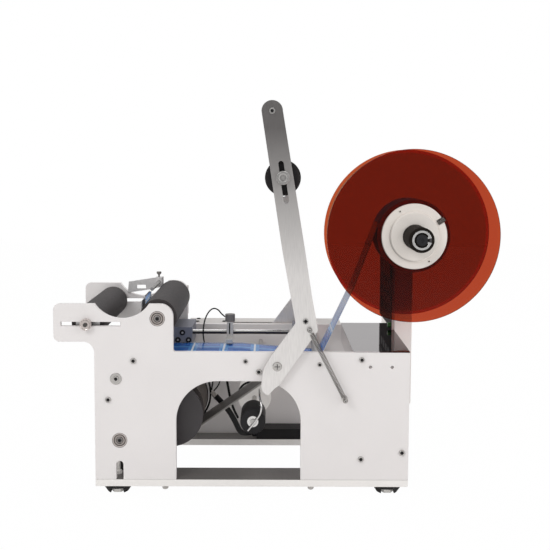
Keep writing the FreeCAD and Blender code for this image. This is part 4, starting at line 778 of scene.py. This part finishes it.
sealRing = (6.35, 8.65, 0.2, 0.75)
gapRings = ((10.45, 11.2, -0.06, 0.1), (7.7, 8.6, -0.06, 0.1), (4.5, 5.5, -0.06, 0.1))
end = [(0, 0.4), (1.5, 0.4), (1.5, -0.75), (3.2, -0.75), (3.7, -0.3), (3.7, 0.4)]
for (x, z), body in zip(spots, ("driven_roller", "drive_shaft")):
    face = (x, 0.5, z)
    makePiece("bearing_seal_" + body, [flatRing(face, *sealRing)], "darkSeal", slot="black_rubber")
    makePiece("bearing_gaps_" + body, [flatRing(face, *ring) for ring in gapRings], "blackPlastic",
              slot="black_rubber")
    makePiece("shaft_end_" + body, [turned((x, 0.2, z), end, "y", 48, hexRows=(1, 2))], "shaftSteel", body=body,
              slot="black_steel")
    # Painted shade: a black disc on the shaft end's socket floor
    makePiece("shaft_socket_shade_" + body, [disc((x, 0.55, z), 2.4, -1.35)], "blackPlastic", body=body, slot="black_steel")

# Front roller's axle with its knurled nuts, and the press roller's axle with its knobs
nutRows = [(3, 7.2), (6.4, 7.2), (7.2, 7.7), (8.1, 7.7), (8.5, 7.2), (8.5, 0.9), (8.1, 0.3), (3, 0.3)]
nuts = [turned(onAxle("frontRoller", y), outward(nutRows, way), "y", 180, knurlRows=(4, 5), knurlCount=36,
               knurlDepth=0.035, loop=True) for y, way in plateFaces]
axleParts = [rod(onAxle("frontRoller", -10), 3, 255, 0.4)]
axleParts += [collar(axles["frontRoller"], low, high, 3, 7) for low, high in ((8.3, 11.6), (223.4, 226.7))]
makePiece("front_axle_made", axleParts, "axleSteel", node="front_axle", bevel=0.0001)
makePiece("front_nuts", nuts, "warmSteel", body="front_carriage", slot="bright_steel", bevel=0.0001)

# The press roller hangs in the arm's slot, some way down from the slot's top
armSlot = {"top": (328.6, 489.8), "drop": 20.3, "down": (0.146083, -0.989272)}
axles["pressRoller"] = tuple(top + armSlot["drop"] * down for top, down in zip(armSlot["top"], armSlot["down"]))
knobRows = [(3.7, 9.0), (5.2, 9.0), (6.2, 9.8), (9.1, 9.8), (10, 8.9), (10, 1.3), (9.2, 0.3), (3.7, 0.3)]
pressParts = [rod(onAxle("pressRoller", -14), 3.7, 263)]
pressParts += [turned(onAxle("pressRoller", y), outward(knobRows, way), "y", 200, knurlRows=(4, 5), knurlCount=40,
                      knurlDepth=0.03, loop=True) for y, way in armFaces]
pressParts += [collar(axles["pressRoller"], low, high, 3.7, 7.7) for low, high in ((-3.7, -0.4), (235.4, 238.7))]
makePiece("press_axle_made", pressParts, "turnedSteel", node="press_axle", bevel=0.0001)

# Arm bars: handle and cross bar with their screws, and the spring's post
armParts = []
for bar, radius in (("handle", 6), ("armBar", 5)):
    armParts.append(rod(onAxle(bar, -4), radius, 243, count=48))
    for y, way in armFaces:
        armParts += socketHead(onAxle(bar, y), 4.3, 2.5, 2.4, way)
studRows = [(0, 0), (2.5, 0), (2.5, -2.4), (1.7, -2.8), (1.7, -6.6), (2.5, -7), (2.5, -8.6), (2.1, -9), (0, -9)]
armParts.append(turned(onAxle("springTop", -10), studRows, "y", 32))
makePiece("arm_bars_made", armParts, "turnedSteel", node="arm_bars", bevel=0.00012)
# Painted shade in the arm's screw sockets and cross recesses
armShade = [disc(onAxle(bar, -11.0), 2.35, -0.12) for bar in ("handle", "armBar")]
armShade += crossRecessShade(onAxle("springTop", -19.0), 1.5, 0.7) + crossRecessShade(onAxle("armBar", -12.5), 3.4, 1.0)
makePiece("arm_socket_shade", armShade, "blackPlastic", body="press_arm", slot="black_steel", sharp=20)


# Retaining ring: flat, open at one side, with an ear at each end; the inner radius drops where the ears stand
def retainingRing(place, outer, inner, ear, thick, gap=14.0, earSpan=16.0, count=90):
    angle = np.radians(np.linspace(gap, 360 - gap, count))
    fromEnd = np.degrees(np.minimum(angle, 2 * math.pi - angle)) - gap
    low = np.where(fromEnd < earSpan, ear, inner)
    rows = [(low, 0), (np.full(count, outer), 0), (np.full(count, outer), thick), (low, thick)]
    corners = [np.stack([r * np.cos(angle), np.full(count, d, float), r * np.sin(angle)], -1) for r, d in rows]
    points = np.stack(corners, 1)
    ends = np.array([[0, 1, 2, 3], [(count - 1) * 4 + k for k in (3, 2, 1, 0)]])
    faces = np.vstack([gridFaces(count, 4, False, True), ends])
    return station(points.reshape(-1, 3) + np.asarray(place, float)), faces


shaftRows = [(0, 1.6), (2.2, 1.6), (2.9, 0), (7.7, 0), (8.5, 0.8), (8.5, 169.5), (0, 169.5)]
makePiece("reel_shaft_made", [turned(onAxle("reel", -1), shaftRows, "y", 64)], "blackSteel", node="reel_shaft",
          bevel=0.0002)
makePiece("reel_ring", [retainingRing(onAxle("reel", 0.1), 14.2, 11.0, 8.8, 1.6)], "bearingSteel",
          slot="bright_steel", bevel=0.0002)
bushing = [(8.7, 2.6), (10.9, 2.6), (11.2, 1.8), (14.4, 1.8), (14.4, 3.4), (8.7, 3.4)]
makePiece("reel_bushing", [turned(onAxle("reel", 0), bushing, "y", 64, loop=True)], "darkPlastic", body="reel",
          slot="black_steel")

# Clamp screw of the front hub: threads along a line that points away from the reel's axis
clamp = {"angle": 31, "depth": 69, "start": 40.5, "length": 12, "radius": 3.55, "thread": 0.4, "pitch": 1.5,
         "tip": 3.2}
lean = math.radians(clamp["angle"])
out = np.array([math.cos(lean), 0, math.sin(lean)])
reach = np.linspace(0, clamp["length"], 97)
threads = clamp["radius"] + clamp["thread"] * np.cos(reach * 2 * math.pi / clamp["pitch"])
threads[[0, -1]] = clamp["tip"]
spot = np.array(onAxle("reel", clamp["depth"])) + clamp["start"] * out
makePiece("hub_clamp_screw_made", [swept(spot + reach[:, None] * out, threads, 28)], "springSteel",
          node="hub_clamp_screw", sharp=60)

# Black roller in the arch: waisted ends, a bright hub in its face and a bent wire guard over it
rollerRows = [(4.1, 1.2), (8.8, 1.2), (8.8, 0.4), (17.6, 0), (18.6, 0.5), (19, 1.6), (19, 53.4), (18.6, 54.5),
              (17.6, 55), (4.1, 55)]
makePiece("tension_roller_made", [turned(onAxle("blackRoller", 32), rollerRows, "y", 72, loop=True)], "blackPlastic",
          node="tension_roller", bevel=0.0002)
hubRows = [(4.15, 0.6), (5.6, 0.6), (5.9, 0.1), (8.3, 0.1), (8.7, 0.6), (8.7, 1.6), (4.15, 1.6)]
makePiece("tension_hub", [turned(onAxle("blackRoller", 32), hubRows, "y", 56, loop=True)], "bearingSteel",
          body="tension_roller", slot="bright_steel")


# A smooth line through given places: each stretch is a cubic with the neighbours' difference as its slope
def smoothLine(places, steps=10):
    places = np.asarray(places, float)
    slope = np.gradient(places, axis=0)
    share = np.linspace(0, 1, steps, endpoint=False)[:, None]
    h = [2 * share**3 - 3 * share**2 + 1, share**3 - 2 * share**2 + share, 3 * share**2 - 2 * share**3,
         share**3 - share**2]
    line = [h[0] * here + h[1] * rise + h[2] * there + h[3] * nextRise
            for here, there, rise, nextRise in zip(places, places[1:], slope, slope[1:])]
    return np.vstack(line + [places[-1:]])


wires = {
    "roller_guard": {"radius": 1.5, "finish": "bearingSteel", "slot": "bright_steel", "places": [
        (297, 120, 131), (298, 70, 140), (299, 40, 139.5), (301.5, 29, 130), (300, 27.5, 118), (293, 28, 106),
        (281.5, 29, 91)]},
    "harness_a": {"radius": 2.0, "finish": "blackPlastic", "slot": "black_plastic", "places": [
        (238, 150, 172), (242, 150, 150), (246, 150, 128), (250.5, 150, 105), (256, 152, 88), (262, 156, 74)]},
    "harness_b": {"radius": 1.6, "finish": "blackPlastic", "slot": "black_plastic", "places": [
        (206, 150, 170), (212, 150, 146), (217, 150, 124), (216, 150, 102), (208, 150, 84), (199, 150, 72)]},
    "harness_c": {"radius": 1.2, "finish": "blackPlastic", "slot": "black_plastic", "places": [
        (216, 151.5, 166), (222, 151.5, 148), (221, 151.5, 134), (219, 151.5, 121.5)]},
    "motor_wire": {"radius": 1.8, "finish": "blackPlastic", "slot": "black_plastic", "places": [
        (263, 160, 112), (265.2, 160, 121), (271, 160, 128), (280, 160, 132.5), (292, 160, 134.2), (306, 160, 134),
        (318, 160, 142)]},
}
for name, wire in wires.items():
    makePiece(name, [swept(smoothLine(wire["places"]), wire["radius"], 12)], wire["finish"], slot=wire["slot"],
              sharp=60)

# Can round the roller's stud behind it
canRows = [(4.2, 0), (25.6, 0), (27, 1.4), (27, 58), (4.2, 58)]
makePiece("roller_can", [turned(onAxle("blackRoller", 168), canRows, "y", 72, loop=True)], "canPaint",
          slot="grey_paint", bevel=0.0002)

# Screws in the dark block, on the housing's top and on the covers: head is radius, height and socket
blockScrews = [(172.2, 150, 216.1), (164.9, 150, 204.2), (182.1, 150, 204.2)]
makePiece("block_screws", sum([socketHead(place, 4.5, 1.2, 1.9) for place in blockScrews], []), "blackPlastic",
          slot="black_steel")
sockets = [disc((x, y - 0.9, z), 1.7, -0.3, 20) for x, y, z in blockScrews]
makePiece("block_sockets", sockets, "forkSteel", slot="bright_steel")
# Painted shade: a black bar where the sensor bracket's slot is
makePiece("sensor_slot_shade", [block((247.5, 149.85, 214), (249.5, 151, 232))], "blackPlastic", slot="black_plastic")
backFace = max(corner.co.x for corner in nodes["control_housing"].data.vertices) * 1000 - machineOrigin[0]
screwSets = {
    "housing_screws": {"places": [(188.3, 249.4, 216.5), (234.5, 250.4, 216.5), (376, 249, 216.5),
                                  (188.3, 277, 216.5),
                                  (376, 277, 216.5)],
                       "head": (3.4, 1.4, 1.8), "axis": "z", "finish": "blackSteel", "slot": "black_steel"},
    "guard_screws": {"places": [(x, 251, z) for x, z in ((74, 69), (111, 69), (166, 240), (143, 273), (166, 273))],
                     "head": (2.8, 1.6, 1.5), "axis": "y", "finish": "blackSteel", "slot": "black_steel"},
    "side_screws": {"places": [(188, 285, 44), (421, 285, 44), (188, 285, 202), (421, 285, 202)],
                    "head": (3.4, 1.6, 1.8), "axis": "y", "finish": "brightSteel", "slot": "bright_steel"},
    "back_screws": {"places": [(backFace, y, z) for y, z in ((181, 118), (325, 118), (181, 391), (325, 391))],
                    "head": (3.2, 1.4, 1.7), "axis": "x", "finish": "brightSteel", "slot": "bright_steel"},
}
for name, screws in screwSets.items():
    heads = sum([socketHead(place, *screws["head"], 1, screws["axis"]) for place in screws["places"]], [])
    makePiece(name, heads, screws["finish"], slot=screws["slot"])

# Membrane keys under the display, without lettering
keys = [block((513.6, y, z), (514.2, y + 22, z + 13)) for z in (276, 254) for y in (196, 226, 256, 286)]
makePiece("panel_keys", keys, "keyPlastic", slot="panel_plastic", bevel=0.0003)

# Thumb screw of the bottle stop
thumbRows = [(0, 0), (1.5, 0), (1.5, 3.6), (2.6, 4.4), (4, 6.2), (4, 8.5), (3.6, 9), (0, 9)]
makePiece("stop_thumb_screw_made", [turned((126, 219.5, 298), thumbRows, "z", 120, knurlRows=(4, 5), knurlCount=24,
                                           knurlDepth=0.06)],
          "springSteel", node="stop_thumb_screw")

# Every other CAD node: its own shape with eased edges, by the width in metres
finishOf = {
    "near_side_plate": "plateCoat", "far_side_plate": "plateCoat", "base_rails": "railCoat",
    "rubber_feet": "blackRubber", "foot_studs": "nutSteel", "tie_rods": "turnedSteel",
    "driven_roller_core": "aluminium", "driven_roller_rubber": "rollerRubber", "front_roller_core": "aluminium",
    "front_roller_rubber": "rollerRubber", "near_press_arm": "armMetal", "far_press_arm": "armMetal",
    "press_roller_core": "blackPlastic", "press_roller_rubber": "softRubber", "reel_sleeve": "sleeveBlack",
    "near_disc": "nearAcrylic", "far_disc": "farAcrylic", "near_hub": "whitePlastic", "far_hub": "whitePlastic",
    "label_roll": "labelRoll", "label_table": "brushedSheet", "table_blocks": "anodised",
    "sensor_rod": "rodSteel", "sensor_body": "forkSteel", "sensor_knob": "knobGrey",
    "guide_roller": "aluminium", "feed_roller": "turnedSteel", "feed_motor": "motorPaint",
    "feed_motor_shaft": "aluminium", "feed_belt": "beltRubber", "rewind_spool": "darkPlastic",
    "wound_backing": "woundPaper", "drive_motor": "blackSteel", "drive_shaft": "turnedSteel",
    "drive_belt": "beltRubber", "rear_cover": "mirrorSheet", "side_housing": "housingCoat",
    "control_housing": "controlCoat", "control_panel": "panelFace", "display": "displayWindow",
    "start_button": "greenPlastic", "stop_bracket": "bracketSteel", "stop_rod": "turnedSteel",
    "supply_box": "blackPlastic", "belt_guard": "housingCoat",
}
easing = {"near_disc": 0.0006, "far_disc": 0.0006, "near_side_plate": 0.0005, "far_side_plate": 0.0005,
          "control_housing": 0.0012, "side_housing": 0.0, "near_hub": 0.0006, "far_hub": 0.0006,
          "supply_box": 0.001, "feed_motor": 0.0012, "drive_motor": 0.0012}
for name in sorted(finishOf):
    eased(name, finishOf[name], easing.get(name, 0.0003))
print("nodes dressed:", len(dressed), "of", len(nodes), sorted(set(nodes) - dressed))

# Floor, lamps and world: a pale bench under soft light
stageSettings = {"floor": tint(244, 243, 242), "floorShare": 0.99, "half": 4.0, "below": 0.0003, "roughness": 0.8,
                 "world": 0.48, "worldTop": 0.66}


def seenDirectly(tree):  # 1 for the camera's own rays, and for those that a clear sheet lets through
    rays = addNode(tree, "ShaderNodeLightPath")
    return maths(tree, "MAXIMUM", rays.outputs["Is Camera Ray"], rays.outputs["Is Transmission Ray"])


def makeStage(stage):
    size = stage["half"]
    corners = [(x, y, -stage["below"]) for x, y in ((-size, -size), (size, -size), (size, size), (-size, size))]
    mesh = bpy.data.meshes.new("floor")
    mesh.from_pydata(corners, [], [(0, 1, 2, 3)])
    floor = addObject("floor", mesh)
    material, tree, shader = newMaterial("floorPaper")
    feed(tree, shader, {"Base Color": stage["floor"], "Roughness": stage["roughness"]})
    share = maths(tree, "MULTIPLY", seenDirectly(tree), stage["floorShare"])
    glow = addNode(tree, "ShaderNodeEmission", {"Color": (1, 1, 1, 1), "Strength": 1.0})
    mix = addNode(tree, "ShaderNodeMixShader", {0: share, 1: shader.outputs[0], 2: glow.outputs[0]})
    tree.links.new(mix.outputs[0], tree.nodes["Material Output"].inputs["Surface"])
    mesh.materials.append(material)
    world = bpy.data.worlds.new("studio")
    world.use_nodes = True
    tree = world.node_tree
    back = tree.nodes["Background"]
    sky = addNode(tree, "ShaderNodeTexCoord").outputs["Generated"]
    up = addNode(tree, "ShaderNodeSeparateXYZ", {0: sky}).outputs["Z"]
    height = spread(tree, up, stage["world"], stage["worldTop"], -0.2, 1.0)
    feed(tree, back, {"Color": (1, 1, 1, 1), "Strength": maths(tree, "MAXIMUM", height, seenDirectly(tree))})
    bpy.context.scene.world = world


def makeLamp(name, place, aim, size, power):
    data = bpy.data.lights.new(name, "AREA")
    data.shape, data.size, data.energy = "DISK", size, power
    lamp = addObject(name, data)
    back = np.array(place, float) - np.array(aim, float)
    level, back = unit(np.cross((0, 0, 1), back)), unit(back)
    turn = Matrix(np.column_stack([level, np.cross(back, level), back]).tolist()).to_4x4()
    lamp.matrix_world = Matrix.Translation(place) @ turn


makeStage(stageSettings)
lamps = {"key": ((-1.4, -1.9, 1.9), (0, 0, 0.25), 1.2, 19), "fill": ((1.7, -1.5, 1.1), (0, 0, 0.25), 1.4, 9),
         "top": ((0.2, 0.6, 2.2), (0, 0, 0.2), 1.5, 12)}
for name, (place, aim, size, power) in lamps.items():
    makeLamp(name, place, aim, size, power)
print("stage made")
